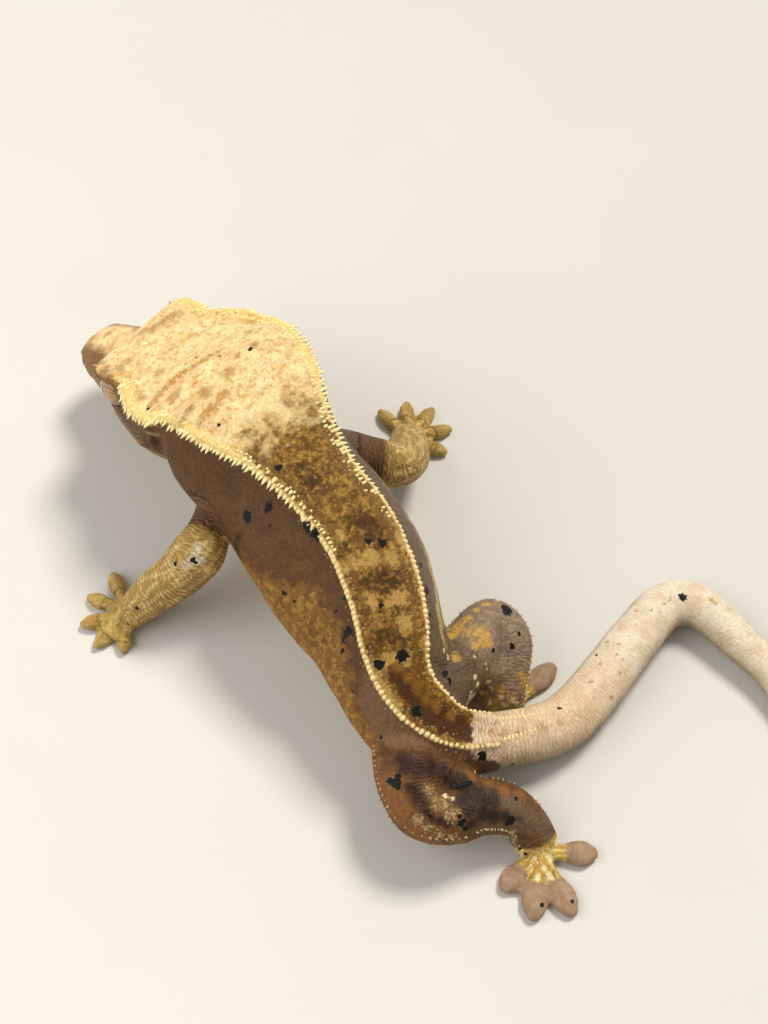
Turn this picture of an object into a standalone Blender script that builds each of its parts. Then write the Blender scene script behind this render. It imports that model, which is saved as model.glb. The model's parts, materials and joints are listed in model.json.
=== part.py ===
"""A crested gecko, life size, lying still with its head turned to its left.

The body is lofted in lengths, fused into one skin and parted by thin cuts into the pieces
a person would name. Sizes are in millimetres, and mm() turns them to metres. The spine
runs along -Y, the animal's left side is +X and the floor is z = 0.
"""
import math

import bpy
import bmesh
import numpy as np
from mathutils import Matrix, Vector
from mathutils.bvhtree import BVHTree

# Driving sizes
EYE_RADIUS = 3.3
EYE_GAP = 0.3
CUT_WIDTH = 0.3
FLOOR_DIP = 0.2
FUSE_GRAIN = 0.5
SKIN_TRIANGLES = 7000
RIDGE = 0.75
SCALE_PITCH = 1.25
SCALE_SINK = 0.6
CUT_CLEARANCE = 0.7
ROUND = 16
SEED = 11
SOLVER = "MANIFOLD"
SKIN_COLOUR = (0.56, 0.36, 0.14, 1.0)
EYE_COLOUR = (0.34, 0.18, 0.07, 1.0)

# The head's own frame: x to the snout, y to the animal's left, z up, from between the brows
HEAD_PLACE = (19.5, -38.7, 20.0)
HEAD_TURN = -70.0
HEAD_NOD = 22.0

# Head sections: x, then top z, crest y z, cheek y z, jaw y z, under-jaw y z, throat z
HEAD_SECTIONS = (
    (14.0, -3.5, 3.1, -4.0, 4.3, -5.5, 4.1, -7.4, 2.6, -8.7, -9.0),
    (11.8, -2.8, 3.4, -3.7, 5.0, -5.6, 5.3, -7.9, 3.6, -9.3, -9.7),
    (8.6, -2.3, 3.7, -3.3, 5.3, -5.5, 6.2, -8.2, 4.5, -10.0, -10.4),
    (5.8, -2.0, 4.1, -2.9, 5.9, -5.2, 7.1, -8.6, 5.4, -10.7, -11.1),
    (3.0, -1.0, 7.6, -0.7, 7.5, -4.2, 8.4, -8.8, 6.3, -11.3, -11.8),
    (0.0, -0.5, 9.4, 0.3, 8.3, -4.0, 9.6, -9.0, 7.2, -12.0, -12.5),
    (-2.6, -0.6, 9.3, -0.1, 8.9, -4.0, 10.6, -9.2, 7.9, -12.5, -13.0),
    (-4.8, -0.7, 8.9, -1.0, 9.8, -4.4, 11.3, -9.3, 8.4, -12.8, -13.3),
    (-7.0, -0.8, 10.0, -1.1, 10.6, -4.7, 11.9, -9.4, 8.9, -13.1, -13.6),
    (-10.0, -0.6, 12.0, -1.9, 11.8, -5.4, 12.2, -9.5, 9.2, -13.4, -13.9),
    (-13.5, -0.1, 12.4, -2.4, 11.9, -5.8, 11.8, -9.6, 9.0, -13.5, -14.0),
    (-17.0, 0.5, 11.4, -1.4, 10.8, -5.8, 10.6, -9.4, 8.0, -13.2, -13.9),
    (-20.5, 0.5, 10.8, -0.6, 9.8, -5.6, 8.8, -9.0, 6.4, -12.2, -13.2),
)

# Trunk sections: x, y, back z, roll, half width between the crests, left flank, right flank, depth,
# share of the depth where the flank is widest, and fullness of the belly
TRUNK_SECTIONS = (
    (16.0, -29.0, 21.8, 2.0, 6.4, 7.6, 7.2, 9.0, 0.60, 0.76),
    (13.5, -21.0, 26.4, 9.0, 11.2, 12.4, 10.6, 15.6, 0.62, 0.80),
    (12.3, -13.5, 27.4, 11.0, 9.6, 12.8, 9.8, 18.0, 0.62, 0.80),
    (11.6, -6.5, 27.2, 12.0, 6.6, 12.2, 9.2, 18.6, 0.58, 0.76),
    (10.8, 1.0, 26.2, 13.0, 4.9, 13.0, 10.3, 18.9, 0.50, 0.70),
    (9.8, 9.5, 24.8, 13.0, 4.8, 13.6, 9.8, 18.8, 0.50, 0.68),
    (10.2, 15.5, 23.4, 10.0, 4.9, 12.8, 8.8, 18.0, 0.50, 0.66),
    (11.1, 20.2, 21.6, 7.0, 4.9, 11.2, 8.0, 16.6, 0.52, 0.66),
    (12.8, 25.1, 19.4, 7.0, 4.6, 9.2, 8.2, 14.8, 0.54, 0.66),
    (13.7, 28.6, 17.4, 9.0, 4.0, 7.8, 7.4, 13.2, 0.54, 0.66),
    (13.2, 31.9, 15.3, 10.0, 3.6, 7.2, 6.8, 11.4, 0.54, 0.66),
    (11.2, 35.2, 13.0, 12.0, 3.1, 6.4, 6.0, 9.8, 0.52, 0.66),
    (8.8, 37.2, 11.2, 12.0, 2.5, 4.7, 4.8, 8.4, 0.52, 0.66),
    (5.0, 38.8, 9.8, 10.0, 1.9, 4.0, 4.1, 7.6, 0.50, 0.68),
)

# Tail: x, y, z of its middle, half width, half height
TAIL = (
    (9.0, 37.0, 6.4, 3.9, 3.8),
    (4.1, 38.8, 5.7, 3.95, 3.9),
    (0.6, 39.7, 5.0, 3.95, 3.9),
    (-4.0, 40.4, 4.3, 3.9, 3.85),
    (-8.0, 39.8, 3.9, 3.9, 3.8),
    (-13.4, 37.9, 3.7, 3.85, 3.75),
    (-21.7, 34.4, 3.5, 3.7, 3.6),
    (-28.3, 32.2, 3.3, 3.5, 3.4),
    (-32.3, 33.5, 3.1, 3.35, 3.2),
    (-34.1, 37.0, 2.9, 3.15, 3.0),
    (-34.9, 41.5, 2.6, 2.9, 2.7),
    (-35.9, 47.4, 2.3, 2.6, 2.4),
    (-35.6, 53.5, 1.9, 2.3, 2.05),
    (-33.6, 59.3, 1.5, 2.0, 1.65),
    (-30.2, 64.0, 1.1, 2.1, 1.3),
    (-26.0, 67.4, 0.85, 2.4, 1.05),
    (-22.2, 69.4, 0.75, 1.9, 0.9),
)

# Length of the crest scales at each trunk section after the first
CREST_LENGTHS = (1.4, 1.4, 1.2, 1.0, 0.8, 0.7, 0.7, 0.7, 0.7, 0.7, 0.7, 0.7, 0.6)

# Legs, from inside the trunk to the wrist or ankle: x, y, z, half width, half height
LEGS = {
    "fore_left": (
        (14.0, -11.8, 17.0, 4.0, 4.6),
        (19.6, -10.4, 14.6, 3.8, 4.2),
        (24.0, -7.8, 12.6, 3.2, 3.4),
        (27.2, -5.6, 11.4, 3.9, 3.9),
        (30.6, -5.0, 9.2, 3.7, 3.6),
        (34.2, -5.6, 6.6, 3.4, 3.2),
        (37.4, -6.2, 4.0, 3.0, 2.5),
        (39.2, -6.8, 2.0, 3.0, 1.7),
    ),
    "fore_right": (
        (9.5, -9.5, 17.5, 4.0, 4.6),
        (3.6, -8.4, 15.0, 3.8, 4.2),
        (-1.0, -6.2, 13.0, 3.5, 3.7),
        (-4.4, -4.6, 11.4, 3.5, 3.5),
        (-7.2, -6.0, 9.2, 3.6, 3.5),
        (-9.6, -9.2, 6.4, 3.3, 3.1),
        (-11.4, -12.2, 3.8, 2.9, 2.4),
        (-12.2, -13.4, 2.0, 3.0, 1.7),
    ),
    "hind_left": (
        (13.4, 30.6, 9.8, 4.8, 4.6),
        (16.2, 34.4, 9.0, 4.8, 4.4),
        (18.4, 38.6, 8.4, 4.6, 4.2),
        (18.8, 43.0, 7.8, 4.1, 3.8),
        (16.0, 45.4, 7.3, 3.9, 3.7),
        (12.4, 45.8, 6.7, 4.0, 3.6),
        (8.9, 47.5, 5.6, 3.7, 3.1),
        (6.9, 50.0, 4.0, 3.0, 2.5),
        (6.7, 52.8, 2.2, 3.0, 1.8),
    ),
    "hind_right": (
        (11.5, 30.4, 9.8, 4.6, 4.6),
        (5.8, 28.4, 9.5, 4.5, 4.4),
        (0.9, 25.9, 9.4, 4.2, 4.1),
        (-3.2, 24.2, 8.9, 3.7, 3.6),
        (-4.3, 27.0, 7.7, 3.6, 3.4),
        (-2.8, 29.9, 5.6, 3.2, 2.9),
        (-1.1, 32.4, 3.3, 2.7, 2.2),
        (-0.6, 33.4, 1.9, 2.9, 1.6),
    ),
}

# The fold of skin that fills the bend of each hind leg, in rows as the legs
FOLDS = {
    "hind_left_fold": (
        (16.0, 38.0, 8.0, 3.6, 3.6),
        (13.9, 40.8, 7.4, 2.9, 3.2),
        (12.2, 43.4, 6.8, 2.7, 2.8),
    ),
    "hind_right_fold": (
        (2.4, 28.3, 8.2, 3.1, 3.0),
        (-0.4, 29.0, 6.9, 3.0, 2.7),
        (-2.4, 30.0, 5.6, 2.4, 2.2),
    ),
}

# Toes: heading and reach from the middle of the foot; each foot's middle; pad half width
FEET = {
    "fore_left": ((39.4, -7.4), 1.3, ((262.0, 7.2), (303.0, 6.6), (345.0, 6.6), (22.0, 6.6), (60.0, 6.0))),
    "fore_right": ((-12.4, -14.0), 1.3, ((278.0, 7.0), (241.0, 7.2), (206.0, 7.2), (168.0, 7.0), (128.0, 6.2))),
    "hind_left": ((7.0, 53.6), 1.85, ((149.0, 7.6), (86.0, 9.3), (53.0, 9.0), (16.0, 6.9), (-75.0, 4.6))),
    "hind_right": ((-0.8, 33.6), 1.85, ((195.0, 9.8), (234.0, 9.2), (262.0, 8.8), (290.0, 8.0), (322.0, 6.0))),
}
TOE_HEIGHT = 0.95

# Thin oval cuts that part the skin: middle, facing, half width, half height
CUTS = (
    ("head and neck", (13.4, -22.2, 20.0), (0.25, -0.96, -0.12), 17.0, 17.0),
    ("neck and trunk", (12.5, -15.6, 20.0), (0.10, -1.0, 0.0), 17.0, 17.0),
    ("trunk and tail", (3.2, 39.2, 5.4), (-1.0, 0.20, 0.0), 6.4, 6.4),
    ("tail lengths", (-21.7, 34.4, 3.5), (-0.93, -0.37, 0.0), 6.0, 6.0),
    ("tail lengths", (-35.4, 44.5, 2.5), (-0.18, 1.0, 0.0), 5.0, 5.0),
)
LEG_CUTS = {
    "fore_left": (((25.2, -7.3, 12.4), (0.9, 0.35, -0.25), 5.6, 5.6),
                  ((30.4, -5.1, 9.3), (0.85, -0.05, -0.5), 5.4, 5.4),
                  ((37.9, -6.4, 3.5), (0.75, -0.2, -0.65), 4.4, 4.4)),
    "fore_right": (((-0.3, -6.8, 13.5), (-0.95, 0.2, -0.1), 6.4, 6.4),
                   ((-5.9, -4.9, 10.3), (-0.75, -0.45, -0.45), 5.2, 5.2),
                   ((-11.4, -12.1, 3.7), (-0.5, -0.6, -0.65), 4.4, 4.4)),
    "hind_left": (((17.1, 40.8, 8.2), (0.23, 0.97, 0.0), 9.2, 7.4),
                  ((17.9, 44.9, 7.6), (-0.62, 0.78, 0.0), 6.2, 8.0),
                  ((6.8, 51.3, 3.2), (0.0, 0.5, -0.87), 4.4, 4.4)),
    "hind_right": (((3.6, 27.5, 9.4), (-0.98, 0.18, 0.0), 5.8, 5.8),
                   ((-2.2, 27.3, 8.6), (-0.66, 0.75, 0.0), 9.0, 7.0),
                   ((-1.2, 32.3, 3.1), (0.0, 0.1, -1.0), 4.2, 4.2)),
}


def mm(*values):
    """Millimetres to a point in metres."""
    return Vector(values) * 0.001


def clear_scene():
    for thing in list(bpy.data.objects):
        bpy.data.objects.remove(thing, do_unlink=True)


def new_collection(name):
    group = bpy.data.collections.new(name)
    bpy.context.scene.collection.children.link(group)
    return group


def new_material(name, colour, roughness):
    finish = bpy.data.materials.new(name)
    finish.use_nodes = True
    shader = finish.node_tree.nodes["Principled BSDF"]
    shader.inputs["Base Color"].default_value = colour
    shader.inputs["Roughness"].default_value = roughness
    shader.inputs["Metallic"].default_value = 0.0
    return finish


def bend(a, b, c, d, t):
    """The Catmull-Rom curve between b and c."""
    return 0.5 * (2 * b + (c - a) * t + (2 * a - 5 * b + 4 * c - d) * t ** 2 + (3 * b - a - 3 * c + d) * t ** 3)


def smooth_rows(rows, steps):
    """Rows of numbers carried through a smooth curve, with steps rows to each span."""
    rows = np.array(rows, dtype=float)
    ends = np.vstack([2 * rows[0] - rows[1], rows, 2 * rows[-1] - rows[-2]])
    made = [bend(*ends[i:i + 4], k / steps) for i in range(len(rows) - 1) for k in range(steps)]
    return np.array(made + [rows[-1]])


def smooth_loop(points, count):
    """A closed smooth curve through points, as count points."""
    points = np.array(points, dtype=float)
    total = len(points)
    made = []
    for k in range(count):
        spot = k * total / count
        i = int(spot)
        made.append(bend(*(points[(i + j) % total] for j in (-1, 0, 1, 2)), spot - i))
    return made


def directions(path):
    """Unit directions along a path."""
    steps = np.gradient(np.array(path), axis=0)
    return steps / np.linalg.norm(steps, axis=1)[:, None]


def loft(name, rings, group):
    """A closed mesh through rings of points in millimetres, with a fan at each end."""
    form = bmesh.new()
    rows = [[form.verts.new(mm(*p)) for p in ring] for ring in rings]
    count = len(rings[0])
    for low, high in zip(rows, rows[1:]):
        for k in range(count):
            j = (k + 1) % count
            form.faces.new((low[k], low[j], high[j], high[k]))
    for row in (rows[0], rows[-1]):
        tip = form.verts.new(sum((v.co for v in row), Vector()) / count)
        for k in range(count):
            form.faces.new((row[k], row[(k + 1) % count], tip))
    bmesh.ops.recalc_face_normals(form, faces=form.faces)
    mesh = bpy.data.meshes.new(name)
    form.to_mesh(mesh)
    form.free()
    made = bpy.data.objects.new(name, mesh)
    group.objects.link(made)
    return made


def oval_ring(place, way, wide, tall, count=ROUND):
    """An oval of points across a direction, its width level with the floor."""
    side = np.cross((0.0, 0.0, 1.0), way)
    side /= np.linalg.norm(side)
    up = np.cross(way, side)
    turns = [2 * math.pi * k / count for k in range(count)]
    return [place + side * wide * math.cos(a) + up * tall * math.sin(a) for a in turns]


def limb(name, rows, group, steps=4, count=ROUND):
    """A tube through rows of x, y, z, half width and half height, with rounded ends."""
    rows = smooth_rows(rows, steps)
    path, sizes = rows[:, :3], rows[:, 3:]
    ways = directions(path)
    rings = [oval_ring(p, w, *size, count) for p, w, size in zip(path, ways, sizes)]
    rounding = (0.5, 0.95, 1.3)
    for a in rounding:
        for end, sign in ((0, -1), (-1, 1)):
            spot = path[end] + sign * ways[end] * min(sizes[end]) * math.sin(a)
            ring = oval_ring(spot, ways[end], *(sizes[end] * math.cos(a)), count)
            rings.insert(0 if end == 0 else len(rings), ring)
    return loft(name, rings, group)


def head_frame():
    """The head's own frame, from millimetres to millimetres."""
    turn = Matrix.Rotation(math.radians(HEAD_TURN), 4, "Z")
    nod = Matrix.Rotation(math.radians(HEAD_NOD), 4, "Y")
    return Matrix.Translation(HEAD_PLACE) @ turn @ nod


def head_point(x, y, z):
    """A point of the head's frame, in the animal's millimetres."""
    return np.array(head_frame() @ Vector((x, y, z)))


def head_way(x, y, z):
    """A direction of the head's frame, in the animal's frame."""
    return head_point(x, y, z) - head_point(0, 0, 0)


def build_head(group):
    rings = []
    for x, top, cy, cz, my, mz, jy, jz, uy, uz, throat in smooth_rows(HEAD_SECTIONS, 3):
        left = [(cy, cz), (my, mz), (jy, jz), (uy, uz)]
        right = [(-y, z) for y, z in reversed(left)]
        outline = smooth_loop([(0.0, top)] + left + [(0.0, throat)] + right, 30)
        rings.append([head_point(x, y, z) for y, z in outline])
    nose = np.mean(rings[0], axis=0)
    forward = head_way(1, 0, 0)
    front = rings[0]
    for reach, share in ((0.8, 0.86), (1.4, 0.6)):
        rings.insert(0, [nose + (p - nose) * share + forward * reach for p in front])
    return loft("head_form", rings, group)


def trunk_ring(row, way):
    """One section of the trunk: the back tips with the roll and the belly hangs straight."""
    x, y, z, roll, crest, left, right, depth, level, full = row
    side = np.array((-way[1], way[0], 0.0))
    side /= np.linalg.norm(side)
    tip = math.radians(roll)
    across = (crest * math.cos(tip), crest * math.sin(tip))
    rise = 0.16 * crest
    outline = [(rise * math.sin(tip), rise), (across[0], -across[1]), (left, -level * depth),
               (full * left, -0.92 * depth), (0.0, -depth), (-full * right, -0.92 * depth),
               (-right, -level * depth), (-across[0], across[1])]
    return [np.array((x, y, z)) + side * s + np.array((0, 0, u)) for s, u in smooth_loop(outline, 28)]


def build_trunk(group):
    rows = smooth_rows(TRUNK_SECTIONS, 4)
    ways = directions(rows[:, :3])
    return loft("trunk_form", [trunk_ring(row, -way) for row, way in zip(rows, ways)], group)


def toe_rows(start, heading, reach, half_width):
    """A toe: a slim root, a wide pad and a small claw, on the floor."""
    way = (math.cos(math.radians(heading)), math.sin(math.radians(heading)))
    shape = ((0.05, 1.50, 0.62, 1.30), (0.30, 1.30, 0.60, 1.10), (0.46, 1.10, 0.70, 0.98), (0.66, TOE_HEIGHT, 1.0, 1.06),
             (0.85, TOE_HEIGHT, 0.96, 1.02), (0.97, TOE_HEIGHT - 0.05, 0.6, 0.8))
    return [(start[0] + way[0] * reach * s, start[1] + way[1] * reach * s, z - FLOOR_DIP, half_width * w, h)
            for s, z, w, h in shape]


def build_feet(group):
    for name, (middle, half_width, toes) in FEET.items():
        for k, (heading, reach) in enumerate(toes):
            limb(f"{name}_toe_{k}", toe_rows(middle, heading, reach, half_width), group, 3)


def fused(group):
    """The lofted forms as one skin, its grain set by a remesh and thinned where it is plain."""
    forms = [thing for thing in group.objects]
    joined = bmesh.new()
    for form in forms:
        joined.from_mesh(form.data)
        bpy.data.objects.remove(form, do_unlink=True)
    mesh = bpy.data.meshes.new("skin")
    joined.to_mesh(mesh)
    joined.free()
    skin = bpy.data.objects.new("skin", mesh)
    group.objects.link(skin)
    grain = skin.modifiers.new("fuse", "REMESH")
    grain.mode = "VOXEL"
    grain.voxel_size = FUSE_GRAIN * 0.001
    soften = skin.modifiers.new("soften", "SMOOTH")
    soften.factor = 0.5
    soften.iterations = 4
    settle(skin)
    faces = sum(len(p.vertices) - 2 for p in skin.data.polygons)
    thin = skin.modifiers.new("thin", "DECIMATE")
    thin.ratio = SKIN_TRIANGLES / faces
    settle(skin)
    return skin


def settle(thing):
    """The object's mesh as its modifiers leave it, with the modifiers taken off."""
    bpy.context.view_layer.update()
    graph = bpy.context.evaluated_depsgraph_get()
    mesh = bpy.data.meshes.new_from_object(thing.evaluated_get(graph))
    thing.modifiers.clear()
    thing.data = mesh


def trim_floor(skin):
    """The skin cut level at the floor, so that pads and tail rest on small flats."""
    form = bmesh.new()
    form.from_mesh(skin.data)
    everything = form.verts[:] + form.edges[:] + form.faces[:]
    cut = bmesh.ops.bisect_plane(form, geom=everything, dist=1e-7, plane_co=(0, 0, 0), plane_no=(0, 0, 1),
                                 clear_inner=True)
    rim = [e for e in cut["geom_cut"] if isinstance(e, bmesh.types.BMEdge)]
    bmesh.ops.edgeloop_fill(form, edges=rim)
    bmesh.ops.recalc_face_normals(form, faces=form.faces)
    bmesh.ops.triangulate(form, faces=form.faces)
    form.to_mesh(skin.data)
    form.free()


def place_tool(form, matrix, group, name="tool"):
    """A closed tool or added form, placed by a matrix in millimetres, in a collection."""
    bmesh.ops.transform(form, matrix=Matrix.Scale(0.001, 4) @ matrix, verts=form.verts)
    mesh = bpy.data.meshes.new(name)
    form.to_mesh(mesh)
    form.free()
    tool = bpy.data.objects.new(name, mesh)
    tool.hide_render = True
    tool.display_type = "WIRE"
    group.objects.link(tool)
    return tool


def facing(middle, way):
    """A matrix that stands at a point with its z axis along a direction."""
    return Matrix.Translation(middle) @ Vector(way).to_track_quat("Z", "Y").to_matrix().to_4x4()


def add_cut(middle, way, wide, tall, group):
    form = bmesh.new()
    bmesh.ops.create_cone(form, cap_ends=True, segments=24, radius1=1.0, radius2=1.0, depth=CUT_WIDTH)
    place_tool(form, facing(middle, way) @ Matrix.Diagonal((wide, tall, 1.0, 1.0)), group)


def add_ball(middle, radii, group, way=(0, 0, 1), fine=20):
    form = bmesh.new()
    bmesh.ops.create_uvsphere(form, u_segments=fine, v_segments=fine * 3 // 5, radius=1.0)
    return place_tool(form, facing(middle, way) @ Matrix.Diagonal((*radii, 1.0)), group)


def add_spine(root, way, radius, height, sink, group):
    """A tapered four-sided scale, its root sunk below the skin."""
    form = bmesh.new()
    bmesh.ops.create_cone(form, cap_ends=True, segments=4, radius1=radius, radius2=0.0, depth=height + sink)
    bmesh.ops.translate(form, vec=(0, 0, (height - sink) / 2), verts=form.verts)
    place_tool(form, facing(root, way), group)


def boolean(thing, group, operation):
    """One Boolean with a whole collection, applied, and the collection emptied."""
    step = thing.modifiers.new(operation.lower(), "BOOLEAN")
    step.operation = operation
    step.operand_type = "COLLECTION"
    step.collection = group
    step.solver = SOLVER
    settle(thing)
    for tool in list(group.objects):
        bpy.data.objects.remove(tool, do_unlink=True)


def surfaces(mesh):
    """The separate closed surfaces of a mesh as sets of face numbers, largest first."""
    form = bmesh.new()
    form.from_mesh(mesh)
    form.faces.ensure_lookup_table()
    left = set(range(len(form.faces)))
    found = []
    while left:
        edge = [left.pop()]
        piece = set(edge)
        while edge:
            for near in {f.index for e in form.faces[edge.pop()].edges for f in e.link_faces} & left:
                left.discard(near)
                piece.add(near)
                edge.append(near)
        found.append(piece)
    form.free()
    return sorted(found, key=len, reverse=True)


def only(mesh, kept, name):
    """A copy of a mesh with only the kept faces."""
    form = bmesh.new()
    form.from_mesh(mesh)
    bmesh.ops.delete(form, geom=[f for f in form.faces if f.index not in kept], context="FACES")
    bmesh.ops.triangulate(form, faces=form.faces)
    made = bpy.data.meshes.new(name)
    form.to_mesh(made)
    form.free()
    return made


def node_places():
    """A point in millimetres in the middle of each named piece."""
    places = {
        "head": head_point(-2.0, 0.0, -6.5),
        "neck": np.array((12.9, -18.2, 20.0)),
        "torso": np.array((11.5, 11.0, 15.5)),
        "tail_base": np.array(TAIL[4][:3]),
        "tail_middle": np.array(TAIL[8][:3]),
        "tail_tip": np.array(TAIL[13][:3]),
    }
    for leg, rows in LEGS.items():
        places[f"{leg}_upper"] = np.array(rows[2][:3])
        places[f"{leg}_lower"] = np.array(rows[5][:3])
        places[f"{leg}_foot"] = np.array((*FEET[leg][0], 1.0))
    return places


def part_skin(skin, cutters, gecko):
    """The skin cut at the joints and divided into its named pieces."""
    for _, *cut in CUTS:
        add_cut(*cut, cutters)
    for cuts in LEG_CUTS.values():
        for cut in cuts:
            add_cut(*cut, cutters)
    boolean(skin, cutters, "DIFFERENCE")
    places = node_places()
    nodes = {}
    for kept in surfaces(skin.data)[:len(places)]:
        mesh = only(skin.data, kept, "piece")
        middle = 1000 * np.mean([v.co for v in mesh.vertices], axis=0)
        name = min(places, key=lambda key: np.linalg.norm(places[key] - middle))
        places.pop(name)
        mesh.name = name
        nodes[name] = bpy.data.objects.new(name, mesh)
        gecko.objects.link(nodes[name])
    bpy.data.objects.remove(skin, do_unlink=True)
    return nodes


def surface_of(thing):
    form = bmesh.new()
    form.from_mesh(thing.data)
    tree = BVHTree.FromBMesh(form)
    form.free()
    return tree


def hit(tree, start, way):
    """Where a ray from inside first meets the skin, in millimetres."""
    spot = tree.ray_cast(mm(*start), Vector(way))[0]
    return np.array(spot) * 1000


def eye_places():
    """Each eye's middle and the way it looks, by side."""
    return {name: (head_point(-0.4, sign * 6.7, -4.1), head_way(0.24, sign * 0.95, 0.12))
            for name, sign in (("eye_left", 1), ("eye_right", -1))}


def mouth_path(tree):
    """The closed mouth's line on the skin, from the left corner round the snout to the right one."""
    side = [(x, -7.6 - 0.07 * (12 - x) + 0.055 * max(0.0, -4.5 - x) ** 2) for x in np.arange(-8.6, 9.5, 1.2)]
    left = [hit(tree, head_point(x, 0, z), head_way(0, 1, 0)) for x, z in side]
    right = [hit(tree, head_point(x, 0, z), head_way(0, -1, 0)) for x, z in reversed(side)]
    turns = [math.radians(a) for a in range(70, -71, -14)]
    front = [hit(tree, head_point(9.5, 0, -7.7), head_way(math.cos(a), math.sin(a), 0)) for a in turns]
    return left + front + right


def shape_head(head, cutters):
    """Eye rims, sockets, the line of the mouth, nostrils and ear openings."""
    for middle, way in eye_places().values():
        bpy.ops.mesh.primitive_torus_add(major_segments=20, minor_segments=6, major_radius=3.35, minor_radius=0.62)
        rim = bpy.context.object
        rim.data.transform(Matrix.Scale(0.001, 4) @ facing(middle + 1.75 * way, way))
        for group in rim.users_collection:
            group.objects.unlink(rim)
        cutters.objects.link(rim)
    boolean(head, cutters, "UNION")
    for middle, way in eye_places().values():
        add_ball(middle, [EYE_RADIUS + EYE_GAP] * 3, cutters, way)
    tree = surface_of(head)
    for sign in (1, -1):
        nostril = hit(tree, head_point(10.0, 0, -6.0), head_way(0.72, sign * 0.69, 0.1))
        add_ball(nostril, (0.45, 0.45, 0.45), cutters, fine=10)
        ear = hit(tree, head_point(-12.6, 0, -7.2), head_way(0, sign, 0))
        add_ball(ear, (0.55, 1.15, 0.9), cutters, head_way(0, sign, 0), 10)
    line = mouth_path(tree)
    limb("mouth", [(*p, 0.3, 0.3) for p in line], cutters, 1, 8)
    boolean(head, cutters, "DIFFERENCE")
    head.data = only(head.data, surfaces(head.data)[0], "head")


def crest_path(sign):
    """The crest of one side, brow to tail: points with an outward direction and a scale length."""
    rows = []
    for x, _, cy, cz, *_ in HEAD_SECTIONS[6:11]:
        rows.append((*head_point(x, sign * cy, cz), *head_way(-0.2, sign * 0.85, -0.3), 1.4))
    trunk = np.array(TRUNK_SECTIONS[1:])
    ways = directions(trunk[:, :3])
    for (x, y, z, roll, crest, *_), way, length in zip(trunk, ways, CREST_LENGTHS):
        side = sign * np.array((way[1], -way[0], 0.0))
        tip = math.radians(roll)
        spot = np.array((x, y, z)) + crest * (side * math.cos(tip) - np.array((0, 0, sign * math.sin(tip))))
        rows.append((*spot, *(0.9 * side + np.array((0, 0, 0.5 - 0.5 * length)) + 0.25 * way), length))
    return smooth_rows(rows, 4)


def crest_scales(sign):
    """Evenly pitched places along one crest: point, direction and length, varied a little."""
    rows = crest_path(sign)
    reach = np.concatenate([[0.0], np.cumsum(np.linalg.norm(np.diff(rows[:, :3], axis=0), axis=1))])
    places = np.arange(2.0, reach[-1], SCALE_PITCH)
    chance = np.random.default_rng(SEED)
    made = []
    for spot in places:
        row = np.array([np.interp(spot, reach, column) for column in rows.T])
        way = row[3:6] / np.linalg.norm(row[3:6]) + chance.normal(0.0, 0.08, 3)
        made.append((row[:3], way, row[6] * chance.uniform(0.8, 1.12)))
    return made


def near_cut(spot):
    """Whether a point lies close to one of the cuts through the crest."""
    for _, middle, way, *_ in CUTS[:3]:
        way = np.array(way) / np.linalg.norm(way)
        if abs((spot - np.array(middle)) @ way) < CUT_CLEARANCE + CUT_WIDTH / 2:
            return True
    return False


def add_crest(nodes, cutters):
    """Crest scales on the head, neck and trunk, each fused to the piece that carries it."""
    skins = {name: surface_of(nodes[name]) for name in ("head", "neck", "torso")}
    scales = {name: [] for name in skins}
    for sign in (1, -1):
        for spot, way, length in crest_scales(sign):
            if near_cut(spot):
                continue
            name = min(skins, key=lambda key: skins[key].find_nearest(mm(*spot))[3])
            scales[name].append((hit(skins[name], spot, way), way, length))
    for name, rows in scales.items():
        for root, way, length in rows:
            add_spine(root, way, 0.36 + 0.1 * length, length, SCALE_SINK, cutters)
        if name == "head":
            add_lashes(cutters)
        boolean(nodes[name], cutters, "UNION")
        nodes[name].data = only(nodes[name].data, surfaces(nodes[name].data)[0], name)


def add_lashes(group):
    """The pointed brow scales that stand over each eye."""
    up = head_way(0, 0, 1)
    for middle, way in eye_places().values():
        lift = up - way * (up @ way)
        lift /= np.linalg.norm(lift)
        ahead = np.cross(lift, way) * (1 if np.cross(lift, way) @ head_way(1, 0, 0) > 0 else -1)
        for turn, length in ((80, 0.9), (60, 1.2), (40, 1.4), (20, 1.4), (0, 1.2)):
            out = lift * math.cos(math.radians(turn)) + ahead * math.sin(math.radians(turn))
            add_spine(middle + 1.8 * way + 3.75 * out, 0.7 * way + 0.7 * out, 0.36, length, 0.5, group)


def add_claws(nodes, cutters):
    """A short claw at the end of each toe."""
    for name, (middle, _, toes) in FEET.items():
        for heading, reach in toes:
            way = np.array((math.cos(math.radians(heading)), math.sin(math.radians(heading)), 0.0))
            root = np.array((*middle, TOE_HEIGHT)) + way * reach * 0.98
            add_spine(root, way - np.array((0, 0, 0.12)), 0.32, 0.7, 0.7, cutters)
        boolean(nodes[f"{name}_foot"], cutters, "UNION")
        foot = nodes[f"{name}_foot"]
        foot.data = only(foot.data, surfaces(foot.data)[0], foot.name)


def build_ridges(group):
    """The raised ridge that carries each side's crest scales."""
    for sign in (1, -1):
        rows = crest_path(sign)
        inner = rows[:, :3] - 0.45 * rows[:, 3:6]
        limb("ridge", [(*spot, RIDGE, RIDGE) for spot in inner], group, 1)


def add_eyes(gecko):
    """The two eyes, each a whole ball in its socket."""
    eyes = {}
    for name, (middle, way) in eye_places().items():
        eye = add_ball(middle, [EYE_RADIUS] * 3, gecko, way, 16)
        eye.name = name
        eye.hide_render = False
        eye.display_type = "TEXTURED"
        eyes[name] = eye
    return eyes


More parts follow.
